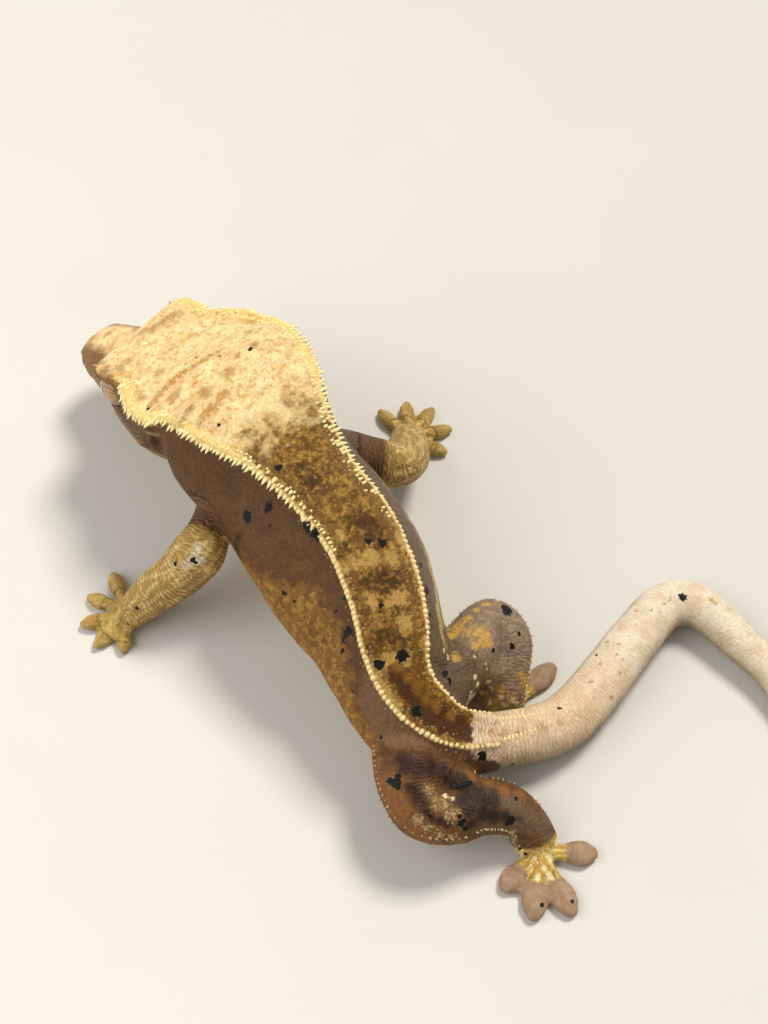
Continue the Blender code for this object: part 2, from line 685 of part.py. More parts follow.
def stand_on_origin(gecko):
    """The whole model moved so that the middle of its box stands over the origin."""
    spots = np.array([v.co for thing in gecko.objects for v in thing.data.vertices])
    middle = (spots.min(axis=0) + spots.max(axis=0)) / 2
    for thing in gecko.objects:
        thing.data.transform(Matrix.Translation((-middle[0], -middle[1], 0.0)))


def finish(nodes):
    """Each piece's own material, and smooth shading on the skin."""
    for name, thing in nodes.items():
        colour, roughness = (EYE_COLOUR, 0.12) if name.startswith("eye") else (SKIN_COLOUR, 0.6)
        thing.data.materials.clear()
        thing.data.materials.append(new_material(name, colour, roughness))
        thing.data.shade_smooth()
        thing.data.set_sharp_from_angle(angle=math.radians(40))


def main():
    clear_scene()
    forms = new_collection("forms")
    cutters = new_collection("cutters")
    gecko = new_collection("crested_gecko")
    build_head(forms)
    build_trunk(forms)
    limb("tail_form", TAIL, forms)
    for name, rows in (*LEGS.items(), *FOLDS.items()):
        limb(name, rows, forms)
    build_feet(forms)
    build_ridges(forms)
    skin = fused(forms)
    trim_floor(skin)
    nodes = part_skin(skin, cutters, gecko)
    shape_head(nodes["head"], cutters)
    add_crest(nodes, cutters)
    add_claws(nodes, cutters)
    nodes.update(add_eyes(gecko))
    stand_on_origin(gecko)
    finish(nodes)


if __name__ == "__main__":
    main()
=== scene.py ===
"""Looks of the crested gecko: one scaled skin with its markings, crest scales, lashes, claws and eyes.

Sizes are in millimetres in the animal's own frame: the spine runs along -Y, its left side is +X
and the floor is z = 0. The skin is lofted from the same named sizes as the solids it stands for.
"""
import json
import math
from types import SimpleNamespace

import bmesh
import bpy
import numpy as np
from mathutils import Matrix, Vector, noise
from mathutils.bvhtree import BVHTree

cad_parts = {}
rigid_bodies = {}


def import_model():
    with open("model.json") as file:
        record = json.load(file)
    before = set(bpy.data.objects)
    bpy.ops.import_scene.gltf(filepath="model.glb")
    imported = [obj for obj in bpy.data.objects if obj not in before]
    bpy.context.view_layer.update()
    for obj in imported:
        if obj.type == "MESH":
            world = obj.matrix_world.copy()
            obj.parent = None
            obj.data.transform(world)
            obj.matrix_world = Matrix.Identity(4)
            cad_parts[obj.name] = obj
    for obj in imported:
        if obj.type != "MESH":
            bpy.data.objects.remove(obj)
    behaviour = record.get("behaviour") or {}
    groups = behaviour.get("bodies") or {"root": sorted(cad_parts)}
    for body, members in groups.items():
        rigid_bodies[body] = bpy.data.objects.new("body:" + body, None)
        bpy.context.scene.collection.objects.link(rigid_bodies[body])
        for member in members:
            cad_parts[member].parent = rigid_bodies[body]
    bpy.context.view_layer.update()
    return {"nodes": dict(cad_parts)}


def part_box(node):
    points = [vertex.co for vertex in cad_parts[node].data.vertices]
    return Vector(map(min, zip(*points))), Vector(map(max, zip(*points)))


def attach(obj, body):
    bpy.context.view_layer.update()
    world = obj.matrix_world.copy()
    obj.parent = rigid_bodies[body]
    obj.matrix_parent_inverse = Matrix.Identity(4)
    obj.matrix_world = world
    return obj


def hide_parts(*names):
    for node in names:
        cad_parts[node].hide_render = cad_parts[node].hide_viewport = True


# Camera: the photograph's angle, its distance and its focal length in pixels of a 768 x 1024 frame
VIEW_TURN = 150.0
VIEW_RISE = 57.0
VIEW_REACH = 228.17
VIEW_FOCUS = 1540.14
FRAME_SIZE = (768, 1024)
LOOK_AT = (0.0, 0.0, 8.0)

# Skin: the cell it is fused in, its triangles, a granule's width, and the pitch of the rows round the limbs
SKIN_GRAIN = 0.3
SKIN_TRIANGLES = 188000
SCALE_SIZE = 0.36
WRINKLE_PITCH = 0.6

# How far the feet dip under the floor before they are cut level, and the radius of the crest's ridge
FLOOR_DIP = 0.2
RIDGE = 0.75

# First number of everything random, and how many spots are put on the sides that the photograph hides
SEED = 11
HIDDEN_SPOTS = 46

# Pitch of the standing scales along their rows
TOOTH_PITCH = 0.74
PEARL_PITCH = 0.74
FRINGE_PITCH = 0.6
GRANULE_PITCH = 0.6
LIP_PITCH = 0.86

# The rows of pointed scales, by how far in from the crest they stand and how tall they are, and their sizes
TOOTH_ROWS = ((0.0, 1.0), (0.45, 0.5), (0.95, 0.25))
TOOTH_SIZES = (0.7, 0.9, 1.0, 1.1, 1.2)

# The rows of loose granules beside the crest, by how far in they stand and how many of them there are
GRANULE_ROWS = ((0.75, 0.4), (1.3, 0.25), (-0.7, 0.2))

# The rows of lip scales, by how far they stand from the mouth and how tall they are
LIP_ROWS = ((0.72, 0.42), (-0.7, 0.36), (1.45, 0.28))

# Fringes: leg, side of it, and the sections where each starts and ends
FRINGES = (("hind_left", -1, 1.2, 8.0), ("hind_left", 1, 4.6, 7.6), ("hind_right", 1, 1.2, 6.8))

# Where the map of the standing scales starts, its step to a millimetre each way, and a scale's patch on it
MAP_START = (0.02, 0.3)
MAP_STEP = (0.0046, 0.009)
MAP_PATCH = 0.003

# Eyes: the ball and its socket, and the rim's radius, thickness and distance out
EYE_RADIUS = 3.3
SOCKET_RADIUS = 3.4
RIM_RADIUS = 3.35
RIM_THICKNESS = 0.62
RIM_OUT = 1.75

# Grain of the claws and of the floor's paper
CLAW_GRAIN = 0.4
PAPER_GRAIN = 25.0

# The head's own frame: x to the snout, y to the animal's left, z up, from between the brows
HEAD_PLACE = (19.5, -38.7, 20.0)
HEAD_TURN = -70.0
HEAD_NOD = 22.0

# Head sections: x, then top z, crest y z, cheek y z, jaw y z, under-jaw y z, throat z
HEAD_SECTIONS = (
    (14.0, -3.5, 3.1, -4.0, 4.3, -5.5, 4.1, -7.4, 2.6, -8.7, -9.0),
    (11.8, -2.8, 3.4, -3.7, 5.0, -5.6, 5.3, -7.9, 3.6, -9.3, -9.7),
    (8.6, -2.3, 3.7, -3.3, 5.3, -5.5, 6.2, -8.2, 4.5, -10.0, -10.4),
    (5.8, -2.0, 4.1, -2.9, 5.9, -5.2, 7.1, -8.6, 5.4, -10.7, -11.1),
    (3.0, -1.0, 7.6, -0.7, 7.5, -4.2, 8.4, -8.8, 6.3, -11.3, -11.8),
    (0.0, -0.5, 9.4, 0.3, 8.3, -4.0, 9.6, -9.0, 7.2, -12.0, -12.5),
    (-2.6, -0.6, 9.3, -0.1, 8.9, -4.0, 10.6, -9.2, 7.9, -12.5, -13.0),
    (-4.8, -0.7, 8.9, -1.0, 9.8, -4.4, 11.3, -9.3, 8.4, -12.8, -13.3),
    (-7.0, -0.8, 10.0, -1.1, 10.6, -4.7, 11.9, -9.4, 8.9, -13.1, -13.6),
    (-10.0, -0.6, 12.0, -1.9, 11.8, -5.4, 12.2, -9.5, 9.2, -13.4, -13.9),
    (-13.5, -0.1, 12.4, -2.4, 11.9, -5.8, 11.8, -9.6, 9.0, -13.5, -14.0),
    (-17.0, 0.5, 11.4, -1.4, 10.8, -5.8, 10.6, -9.4, 8.0, -13.2, -13.9),
    (-20.5, 0.5, 10.8, -0.6, 9.8, -5.6, 8.8, -9.0, 6.4, -12.2, -13.2),
)

# Trunk sections: x, y, back z, roll, half back, left flank, right flank, depth, widest level, belly
TRUNK_SECTIONS = (
    (16.0, -29.0, 21.8, 2.0, 6.4, 7.6, 7.2, 9.0, 0.60, 0.76),
    (13.5, -21.0, 26.4, 9.0, 11.2, 12.4, 10.6, 15.6, 0.62, 0.80),
    (12.3, -13.5, 27.4, 11.0, 9.6, 12.8, 9.8, 18.0, 0.62, 0.80),
    (11.6, -6.5, 27.2, 12.0, 6.6, 12.2, 9.2, 18.6, 0.58, 0.76),
    (10.8, 1.0, 26.2, 13.0, 4.9, 13.0, 10.3, 18.9, 0.50, 0.70),
    (9.8, 9.5, 24.8, 13.0, 4.8, 13.6, 9.8, 18.8, 0.50, 0.68),
    (10.2, 15.5, 23.4, 10.0, 4.9, 12.8, 8.8, 18.0, 0.50, 0.66),
    (11.1, 20.2, 21.6, 7.0, 4.9, 11.2, 8.0, 16.6, 0.52, 0.66),
    (12.8, 25.1, 19.4, 7.0, 4.6, 9.2, 8.2, 14.8, 0.54, 0.66),
    (13.7, 28.6, 17.4, 9.0, 4.0, 7.8, 7.4, 13.2, 0.54, 0.66),
    (13.2, 31.9, 15.3, 10.0, 3.6, 7.2, 6.8, 11.4, 0.54, 0.66),
    (11.2, 35.2, 13.0, 12.0, 3.1, 6.4, 6.0, 9.8, 0.52, 0.66),
    (8.8, 37.2, 11.2, 12.0, 2.5, 4.7, 4.8, 8.4, 0.52, 0.66),
    (5.0, 38.8, 9.8, 10.0, 1.9, 4.0, 4.1, 7.6, 0.50, 0.68),
)

# Tail: x, y, z of its middle, half width, half height
TAIL = (
    (9.0, 37.0, 6.4, 3.9, 3.8),
    (4.1, 38.8, 5.7, 3.95, 3.9),
    (0.6, 39.7, 5.0, 3.95, 3.9),
    (-4.0, 40.4, 4.3, 3.9, 3.85),
    (-8.0, 39.8, 3.9, 3.9, 3.8),
    (-13.4, 37.9, 3.7, 3.85, 3.75),
    (-21.7, 34.4, 3.5, 3.7, 3.6),
    (-28.3, 32.2, 3.3, 3.5, 3.4),
    (-32.3, 33.5, 3.1, 3.35, 3.2),
    (-34.1, 37.0, 2.9, 3.15, 3.0),
    (-34.9, 41.5, 2.6, 2.9, 2.7),
    (-35.9, 47.4, 2.3, 2.6, 2.4),
    (-35.6, 53.5, 1.9, 2.3, 2.05),
    (-33.6, 59.3, 1.5, 2.0, 1.65),
    (-30.2, 64.0, 1.1, 2.1, 1.3),
    (-26.0, 67.4, 0.85, 2.4, 1.05),
    (-22.2, 69.4, 0.75, 1.9, 0.9),
)

# Length of the crest scales at each trunk section after the first
CREST_LENGTHS = (1.4, 1.4, 1.2, 1.0, 0.8, 0.7, 0.7, 0.7, 0.7, 0.7, 0.7, 0.7, 0.6)

# Legs, from inside the trunk to the wrist or ankle: x, y, z, half width, half height
LEGS = {
    "fore_left": (
        (14.0, -11.8, 17.0, 4.0, 4.6),
        (19.6, -10.4, 14.6, 3.8, 4.2),
        (24.0, -7.8, 12.6, 3.2, 3.4),
        (27.2, -5.6, 11.4, 3.9, 3.9),
        (30.6, -5.0, 9.2, 3.7, 3.6),
        (34.2, -5.6, 6.6, 3.4, 3.2),
        (37.4, -6.2, 4.0, 3.0, 2.5),
        (39.2, -6.8, 2.0, 3.0, 1.7),
    ),
    "fore_right": (
        (9.5, -9.5, 17.5, 4.0, 4.6),
        (3.6, -8.4, 15.0, 3.8, 4.2),
        (-1.0, -6.2, 13.0, 3.5, 3.7),
        (-4.4, -4.6, 11.4, 3.5, 3.5),
        (-7.2, -6.0, 9.2, 3.6, 3.5),
        (-9.6, -9.2, 6.4, 3.3, 3.1),
        (-11.4, -12.2, 3.8, 2.9, 2.4),
        (-12.2, -13.4, 2.0, 3.0, 1.7),
    ),
    "hind_left": (
        (13.4, 30.6, 9.8, 4.8, 4.6),
        (16.2, 34.4, 9.0, 4.8, 4.4),
        (18.4, 38.6, 8.4, 4.6, 4.2),
        (18.8, 43.0, 7.8, 4.1, 3.8),
        (16.0, 45.4, 7.3, 3.9, 3.7),
        (12.4, 45.8, 6.7, 4.0, 3.6),
        (8.9, 47.5, 5.6, 3.7, 3.1),
        (6.9, 50.0, 4.0, 3.0, 2.5),
        (6.7, 52.8, 2.2, 3.0, 1.8),
    ),
    "hind_right": (
        (11.5, 30.4, 9.8, 4.6, 4.6),
        (5.8, 28.4, 9.5, 4.5, 4.4),
        (0.9, 25.9, 9.4, 4.2, 4.1),
        (-3.2, 24.2, 8.9, 3.7, 3.6),
        (-4.3, 27.0, 7.7, 3.6, 3.4),
        (-2.8, 29.9, 5.6, 3.2, 2.9),
        (-1.1, 32.4, 3.3, 2.7, 2.2),
        (-0.6, 33.4, 1.9, 2.9, 1.6),
    ),
}

# The fold of skin that fills the bend of each hind leg, in rows as the legs
FOLDS = {
    "hind_left_fold": (
        (16.0, 38.0, 8.0, 3.6, 3.6),
        (13.9, 40.8, 7.4, 2.9, 3.2),
        (12.2, 43.4, 6.8, 2.7, 2.8),
    ),
    "hind_right_fold": (
        (2.4, 28.3, 8.2, 3.1, 3.0),
        (-0.4, 29.0, 6.9, 3.0, 2.7),
        (-2.4, 30.0, 5.6, 2.4, 2.2),
    ),
}

# Feet: the middle, the half width of a pad, and each toe's heading and reach
FEET = {
    "fore_left": ((39.4, -7.4), 1.3, ((262, 7.2), (303, 6.6), (345, 6.6), (22, 6.6), (60, 6.0))),
    "fore_right": ((-12.4, -14.0), 1.3, ((278, 7.0), (241, 7.2), (206, 7.2), (168, 7.0), (128, 6.2))),
    "hind_left": ((7.0, 53.6), 1.85, ((149, 7.6), (86, 9.3), (53, 9.0), (16, 6.9), (-75, 4.6))),
    "hind_right": ((-0.8, 33.6), 1.85, ((195, 9.8), (234, 9.2), (262, 8.8), (290, 8.0), (322, 6.0))),
}

# Height of a toe's middle, and sections along a toe: share of its reach, height, and shares of its width
TOE_HEIGHT = 0.95
TOE_SECTIONS = (
    (0.05, 1.50, 0.62, 1.30),
    (0.30, 1.30, 0.60, 1.10),
    (0.46, 1.10, 0.70, 0.98),
    (0.66, TOE_HEIGHT, 1.0, 1.06),
    (0.85, TOE_HEIGHT, 0.96, 1.02),
    (0.97, 0.90, 0.6, 0.8),
)

# Along the trunk: where the pale lower flank and its far edge begin under the crest, and the edge's strength
PALE_FLANK_START = ((-8, 5, 9, 13, 19, 23, 28), (14.5, 11.0, 8.6, 5.0, 2.6, 3.0, 4.4))
FLANK_EDGE_START = ((-10, 12, 19, 23, 27), (9.5, 8.0, 7.4, 5.0, 4.8))
FLANK_EDGE_SHARE = ((-16, -6, 9, 15, 25, 29), (0.0, 0.5, 0.45, 1.0, 1.0, 0.0))

# Strength of the rows of scales round the tail, by the distance from its root
TAIL_RINGS = ((0, 10, 25), (1.7, 0.8, 0.3))

# Markings, and painted shade and highlights, each by its places in the photograph's frame and their radius in
# millimetres
BLACK_SPOTS = (
    (247, 517, 0.85), (269, 505, 0.65), (267, 511, 0.5), (307, 527, 0.75), (315, 534, 0.8), (348, 632, 0.8),
    (344, 640, 0.5), (343, 651, 0.5), (395, 781, 0.95), (278, 467, 0.5), (368, 541, 0.5), (382, 543, 0.55),
    (380, 606, 0.55), (379, 665, 0.75), (402, 656, 0.85), (416, 711, 0.75), (389, 508, 0.45),
    (421, 565, 0.5), (427, 590, 0.65), (482, 756, 0.7), (683, 598, 0.65), (462, 822, 0.55), (466, 829, 0.4),
    (460, 817, 0.35), (511, 821, 0.7), (469, 783, 0.5), (464, 786, 0.45), (457, 787, 0.4), (430, 816, 0.3),
    (487, 837, 0.22), (270, 526, 0.28), (284, 593, 0.38), (294, 600, 0.25), (336, 611, 0.28),
    (430, 615, 0.3), (353, 692, 0.32), (396, 726, 0.35), (381, 737, 0.38), (513, 764, 0.35), (560, 708, 0.4),
    (597, 655, 0.3), (651, 610, 0.35), (516, 799, 0.35), (520, 849, 0.3), (525, 854, 0.3), (572, 901, 0.3),
    (542, 905, 0.28), (445, 674, 0.45), (449, 681, 0.5), (452, 697, 0.25), (493, 651, 0.35),
    (512, 647, 0.45), (519, 634, 0.3), (507, 610, 0.95), (250, 349, 0.4), (219, 356, 0.28), (196, 357, 0.26),
    (148, 409, 0.32), (219, 424, 0.3), (115, 352, 0.3), (192, 560, 0.4), (196, 563, 0.3), (175, 565, 0.32),
    (137, 608, 0.28), (128, 624, 0.22), (185, 597, 0.25), (345, 598, 0.28), (308, 587, 0.3),
)
PATCHES = {
    "dark_bars": (
        (312, 482, 1.6), (300, 470, 1.1), (352, 520, 1.0), (364, 522, 1.5), (372, 532, 1.3), (378, 540, 1.0),
        (346, 548, 0.8), (368, 580, 1.1), (380, 580, 1.4), (392, 582, 1.3), (386, 590, 0.8), (380, 640, 1.2),
        (392, 634, 1.3), (404, 644, 1.0), (372, 646, 0.9), (366, 610, 0.7), (399, 610, 0.7), (340, 556, 0.6),
    ),
    "rust_field": (
        (396, 672, 1.1), (404, 680, 1.5), (412, 692, 1.7), (422, 704, 1.9), (434, 714, 1.9), (446, 722, 1.9),
        (457, 729, 1.8), (465, 733, 1.5), (470, 736, 1.1),
    ),
    "rust_glow": (
        (410, 677, 0.9), (420, 686, 1.0), (426, 697, 0.9), (436, 706, 0.8), (450, 716, 0.7), (398, 668, 0.8),
    ),
    "cream_blotches": (
        (352, 562, 1.4), (372, 560, 1.2), (394, 556, 1.2), (398, 600, 1.3), (370, 602, 1.2), (405, 622, 1.1),
        (388, 664, 1.4), (404, 652, 0.9), (340, 537, 0.9), (402, 540, 1.1), (380, 682, 1.1), (388, 694, 1.0),
        (396, 704, 0.8), (404, 663, 0.9),
    ),
    "head_ochre": (
        (150, 406, 0.6), (155, 400, 0.65), (160, 394, 0.65), (166, 388, 0.65), (172, 382, 0.65),
        (179, 376, 0.65), (186, 371, 0.65), (194, 366, 0.7), (202, 361, 0.7), (210, 356, 0.65),
        (218, 352, 0.6), (213, 409, 1.0), (207, 412, 0.8), (202, 417, 0.7), (172, 402, 0.6), (226, 394, 0.8),
        (220, 397, 0.6), (237, 356, 0.7), (196, 382, 0.5), (192, 408, 0.4), (187, 426, 0.5), (178, 396, 0.5),
    ),
    # Tan mottling on the head, with painted shade in the hollow behind the left brow and along the right brow
    "head_tan": (
        (112, 380, 1.1), (118, 386, 1.0), (105, 374, 0.9), (124, 378, 0.9), (120, 368, 0.8), (132, 392, 0.8),
        (143, 332, 1.0), (152, 329, 1.0), (162, 322, 0.9), (172, 316, 0.9), (180, 314, 0.7), (136, 330, 0.8),
        (252, 322, 0.9), (249, 332, 0.7), (254, 345, 0.7), (98, 330, 0.7), (92, 338, 0.8), (108, 334, 0.7),
        (140, 398, 0.8), (128, 360, 0.7), (174, 395, 1.0), (160, 372, 0.9), (228, 372, 0.9), (206, 392, 0.9),
    ),
    "shaded_snout": (
        (96, 354, 1.1), (100, 363, 1.1), (94, 364, 0.9), (104, 371, 1.0), (88, 348, 0.9), (110, 381, 0.9),
        (117, 388, 0.7),
    ),
    # Painted shadow in the crease between the trunk and the left thigh, and at the armpit
    "brown_folds": (
        (402, 760, 0.9), (408, 766, 1.3), (418, 769, 1.3), (430, 769, 1.3), (442, 771, 1.2), (452, 775, 0.9),
        (412, 790, 1.0), (418, 799, 1.0), (423, 803, 0.7), (462, 779, 0.8), (426, 812, 0.5), (433, 818, 0.5),
        (440, 821, 0.5), (447, 824, 0.5), (236, 548, 0.9), (238, 538, 0.7),
    ),
    # Purple-brown patches inside the left thigh, deepened with painted shade of the fold between thigh and
    # shank
    "purple_patches": (
        (454, 784, 1.2), (466, 788, 1.5), (464, 799, 1.4), (480, 795, 1.7), (490, 800, 1.5), (482, 812, 1.5),
        (494, 816, 1.3), (470, 810, 1.1), (506, 816, 1.0), (472, 824, 0.8), (516, 818, 0.8),
    ),
    "grey_shin": (
        (533, 818, 1.3), (541, 828, 1.2), (526, 828, 1.2), (486, 830, 0.9), (500, 831, 0.9), (514, 826, 1.0),
        (508, 803, 1.1), (518, 807, 1.3), (526, 814, 1.0), (546, 820, 0.9), (548, 838, 0.8),
    ),
    "orange_edges": (
        (376, 765, 1.1), (382, 782, 1.5), (390, 798, 1.6), (400, 812, 1.6), (412, 828, 1.3), (423, 838, 1.1),
        (434, 844, 0.9), (446, 846, 0.8), (460, 842, 0.7), (476, 840, 0.7), (492, 840, 0.7), (506, 840, 0.7),
        (452, 772, 0.7), (471, 776, 0.8), (487, 782, 0.8), (503, 790, 0.8), (520, 794, 0.8), (534, 799, 0.7),
        (398, 778, 1.1), (404, 796, 1.0), (511, 872, 1.2), (506, 884, 0.9), (522, 865, 0.9), (530, 874, 0.8),
    ),
    "scaly_patches": (
        (430, 789, 0.8), (436, 800, 0.9), (445, 808, 0.9), (455, 814, 0.9), (449, 819, 0.7), (418, 821, 0.7),
        (426, 829, 0.8), (439, 835, 0.8), (452, 838, 0.7), (513, 832, 0.6), (443, 800, 0.7),
    ),
    # Cream scale streaks on legs and feet; on the left hind foot they are partly painted highlights, and in
    # the pocket between the right thigh and the tail they are partly painted light against its shade
    "cream_streaks": (
        (446, 796, 0.4), (452, 799, 0.4), (556, 842, 0.5), (565, 832, 0.6), (538, 877, 0.5), (549, 877, 0.5),
        (534, 858, 0.4), (550, 858, 0.5), (544, 868, 0.4), (493, 644, 0.25), (486, 664, 0.3),
        (487, 669, 0.3), (475, 657, 0.35), (475, 677, 0.4), (478, 684, 0.4), (482, 692, 0.4),
        (489, 682, 0.45), (491, 688, 0.45), (471, 692, 0.35), (490, 702, 0.45), (501, 697, 0.4),
        (505, 705, 0.5), (517, 703, 0.5), (497, 600, 0.4), (512, 700, 0.4), (448, 657, 0.4), (444, 650, 0.4),
    ),
    "yellow_patches": (
        (479, 632, 1.1), (484, 640, 1.0), (488, 636, 0.6), (475, 645, 0.6), (459, 628, 1.2), (454, 634, 0.8),
        (456, 657, 0.6), (466, 620, 0.7), (476, 610, 0.5), (486, 604, 0.5), (496, 687, 0.7), (501, 690, 0.7),
        (486, 698, 1.2), (494, 704, 0.9), (512, 700, 0.8), (507, 708, 0.7), (476, 702, 0.9), (525, 682, 0.8),
        (530, 686, 0.7), (522, 676, 0.6), (478, 694, 0.6),
    ),
    "tail_dents": (
        (492, 733, 0.6), (505, 733, 0.8), (522, 731, 0.7), (543, 727, 0.8), (560, 722, 0.5), (480, 730, 0.5),
    ),
    "tail_flecks": (
        (607, 642, 0.35), (612, 697, 0.4), (623, 660, 0.3), (619, 644, 0.25), (617, 655, 0.25),
        (620, 672, 0.3), (615, 681, 0.25), (636, 611, 0.25), (664, 604, 0.3), (670, 600, 0.3),
        (671, 596, 0.2), (636, 624, 0.2), (541, 727, 0.3), (518, 733, 0.25), (500, 735, 0.3),
        (490, 732, 0.3), (591, 682, 0.35), (660, 612, 0.2), (711, 600, 0.4), (716, 604, 0.3),
        (648, 612, 0.2), (630, 640, 0.2), (600, 664, 0.3),
    ),
    # Pale patch on the elbow, partly a painted highlight on its rounded top
    "pale_elbow": (
        (196, 552, 0.8), (190, 562, 0.8), (200, 560, 0.7), (184, 566, 0.6), (198, 545, 0.5),
    ),
}

# The groove between the brow and the top of the head, by its places in the frame
HEAD_GROOVE = ((150, 405), (164, 390), (182, 374), (202, 361), (222, 350))


def mm(*values):
    """Millimetres to a point in metres."""
    return Vector(values) * 0.001


def linear(colour):
    """An sRGB hex value as linear red, green, blue and alpha."""
    parts = [int(colour[i:i + 2], 16) / 255 for i in (0, 2, 4)]
    return (*[c / 12.92 if c <= 0.04045 else ((c + 0.055) / 1.055) ** 2.4 for c in parts], 1.0)


def ramp(values, low, high):
    """0 at low and 1 at high, straight between them."""
    return np.clip((values - low) / (high - low), 0.0, 1.0)


def unit(way):
    """A direction with a length of one."""
    return way / np.linalg.norm(way)


def bell(far, height, width, middle=0.0):
    """A soft swelling over a distance, or a dent where the height is below zero."""
    return height * np.exp(-((far - middle) / width) ** 2)


# Forms

def bend(a, b, c, d, t):
    """The Catmull-Rom curve between b and c."""
    square, cube = 2 * a - 5 * b + 4 * c - d, 3 * b - a - 3 * c + d
    return 0.5 * (2 * b + (c - a) * t + square * t ** 2 + cube * t ** 3)


def smooth_rows(rows, steps):
    """Rows of numbers carried through a smooth curve, with steps rows to each span."""
    rows = np.array(rows, dtype=float)
    ends = np.vstack([2 * rows[0] - rows[1], rows, 2 * rows[-1] - rows[-2]])
    made = [bend(*ends[i:i + 4], k / steps) for i in range(len(rows) - 1) for k in range(steps)]
    return np.array(made + [rows[-1]])


def smooth_loop(points, count):
    """A closed smooth curve through points, as count points."""
    points = np.array(points, dtype=float)
    total = len(points)
    made = []
    for k in range(count):
        spot = k * total / count
        i = int(spot)
        made.append(bend(*(points[(i + j) % total] for j in (-1, 0, 1, 2)), spot - i))
    return made


def directions(path):
    """Unit directions along a path."""
    steps = np.gradient(np.array(path), axis=0)
    return steps / np.linalg.norm(steps, axis=1)[:, None]


def mesh_of(form, name):
    """A new mesh from a form that is done with."""
    mesh = bpy.data.meshes.new(name)
    form.to_mesh(mesh)
    form.free()
    return mesh


def loft(form, rings):
    """Adds a closed surface through rings of points in millimetres, with a fan at each end."""
    piece = bmesh.new()
    rows = [[piece.verts.new(mm(*p)) for p in ring] for ring in rings]
    count = len(rings[0])
    for low, high in zip(rows, rows[1:]):
        for k in range(count):
            j = (k + 1) % count
            piece.faces.new((low[k], low[j], high[j], high[k]))
    for row in (rows[0], rows[-1]):
        tip = piece.verts.new(sum((v.co for v in row), Vector()) / count)
        for k in range(count):
            piece.faces.new((row[k], row[(k + 1) % count], tip))
    bmesh.ops.recalc_face_normals(piece, faces=piece.faces)
    mesh = mesh_of(piece, "loft")
    form.from_mesh(mesh)
    bpy.data.meshes.remove(mesh)


def oval_ring(place, way, wide, tall, count):
    """An oval of points across a direction, its width level with the floor."""
    side = unit(np.cross((0.0, 0.0, 1.0), way))
    up = np.cross(way, side)
    turns = [2 * math.pi * k / count for k in range(count)]
    return [place + side * wide * math.cos(a) + up * tall * math.sin(a) for a in turns]


def limb(form, rows, steps=8, count=28):
    """A tube through rows of x, y, z, half width and half height, with rounded ends."""
    rows = smooth_rows(rows, steps)
    path, sizes = rows[:, :3], rows[:, 3:]
    ways = directions(path)
    rings = [oval_ring(p, w, *size, count) for p, w, size in zip(path, ways, sizes)]
    for a in (0.3, 0.6, 0.9, 1.15, 1.38):
        for end, sign in ((0, -1), (-1, 1)):
            spot = path[end] + sign * ways[end] * min(sizes[end]) * math.sin(a)
            ring = oval_ring(spot, ways[end], *(sizes[end] * math.cos(a)), count)
            rings.insert(0 if end == 0 else len(rings), ring)
    loft(form, rings)


def head_frame():
    """The head's own frame, from millimetres to millimetres."""
    turn = Matrix.Rotation(math.radians(HEAD_TURN), 4, "Z")
    nod = Matrix.Rotation(math.radians(HEAD_NOD), 4, "Y")
    return Matrix.Translation(HEAD_PLACE) @ turn @ nod


def head_point(x, y, z):
    """A point of the head's frame, in the animal's millimetres."""
    return np.array(head_frame() @ Vector((x, y, z)))


def head_way(x, y, z):
    """A direction of the head's frame, in the animal's."""
    return head_point(x, y, z) - head_point(0, 0, 0)


def loft_head(form):
    """The head with its brow ridges, cheeks and rounded snout."""
    rings = []
    for x, top, cy, cz, my, mz, jy, jz, uy, uz, throat in smooth_rows(HEAD_SECTIONS, 6):
        left = [(cy, cz), (my, mz), (jy, jz), (uy, uz)]
        right = [(-y, z) for y, z in reversed(left)]
        outline = smooth_loop([(0.0, top)] + left + [(0.0, throat)] + right, 60)
        rings.append([head_point(x, y, z) for y, z in outline])
    front = rings[0]
    nose = np.mean(front, axis=0)
    forward = head_way(1, 0, 0)
    for reach, share in ((0.45, 0.96), (0.8, 0.87), (1.15, 0.72), (1.4, 0.5)):
        rings.insert(0, [nose + (p - nose) * share + forward * reach for p in front])
    loft(form, rings)


def trunk_ring(row, way):
    """One section of the trunk: the back tips with the roll and the belly hangs straight."""
    x, y, z, roll, crest, left, right, depth, level, full = row
    side = unit(np.array((-way[1], way[0], 0.0)))
    tip = math.radians(roll)
    across = (crest * math.cos(tip), crest * math.sin(tip))
    rise = 0.16 * crest
    outline = [(rise * math.sin(tip), rise), (across[0], -across[1]), (left, -level * depth),
               (full * left, -0.92 * depth), (0.0, -depth), (-full * right, -0.92 * depth),
               (-right, -level * depth), (-across[0], across[1])]
    return [np.array((x, y, z)) + side * s + np.array((0, 0, u)) for s, u in smooth_loop(outline, 56)]


def loft_trunk(form):
    """The trunk from the neck to the root of the tail."""
    rows = smooth_rows(TRUNK_SECTIONS, 8)
    ways = directions(rows[:, :3])
    loft(form, [trunk_ring(row, -way) for row, way in zip(rows, ways)])


def toe_way(heading):
    """A toe's level direction."""
    return np.array((math.cos(math.radians(heading)), math.sin(math.radians(heading)), 0.0))


def loft_feet(form):
    """Slim toes that widen to oval pads, flat on the floor."""
    for (x, y), half_width, toes in FEET.values():
        for heading, reach in toes:
            ahead, aside, _ = toe_way(heading)
            limb(form, [(x + ahead * reach * s, y + aside * reach * s, z - FLOOR_DIP, half_width * w, h)
                        for s, z, w, h in TOE_SECTIONS], 6, 20)


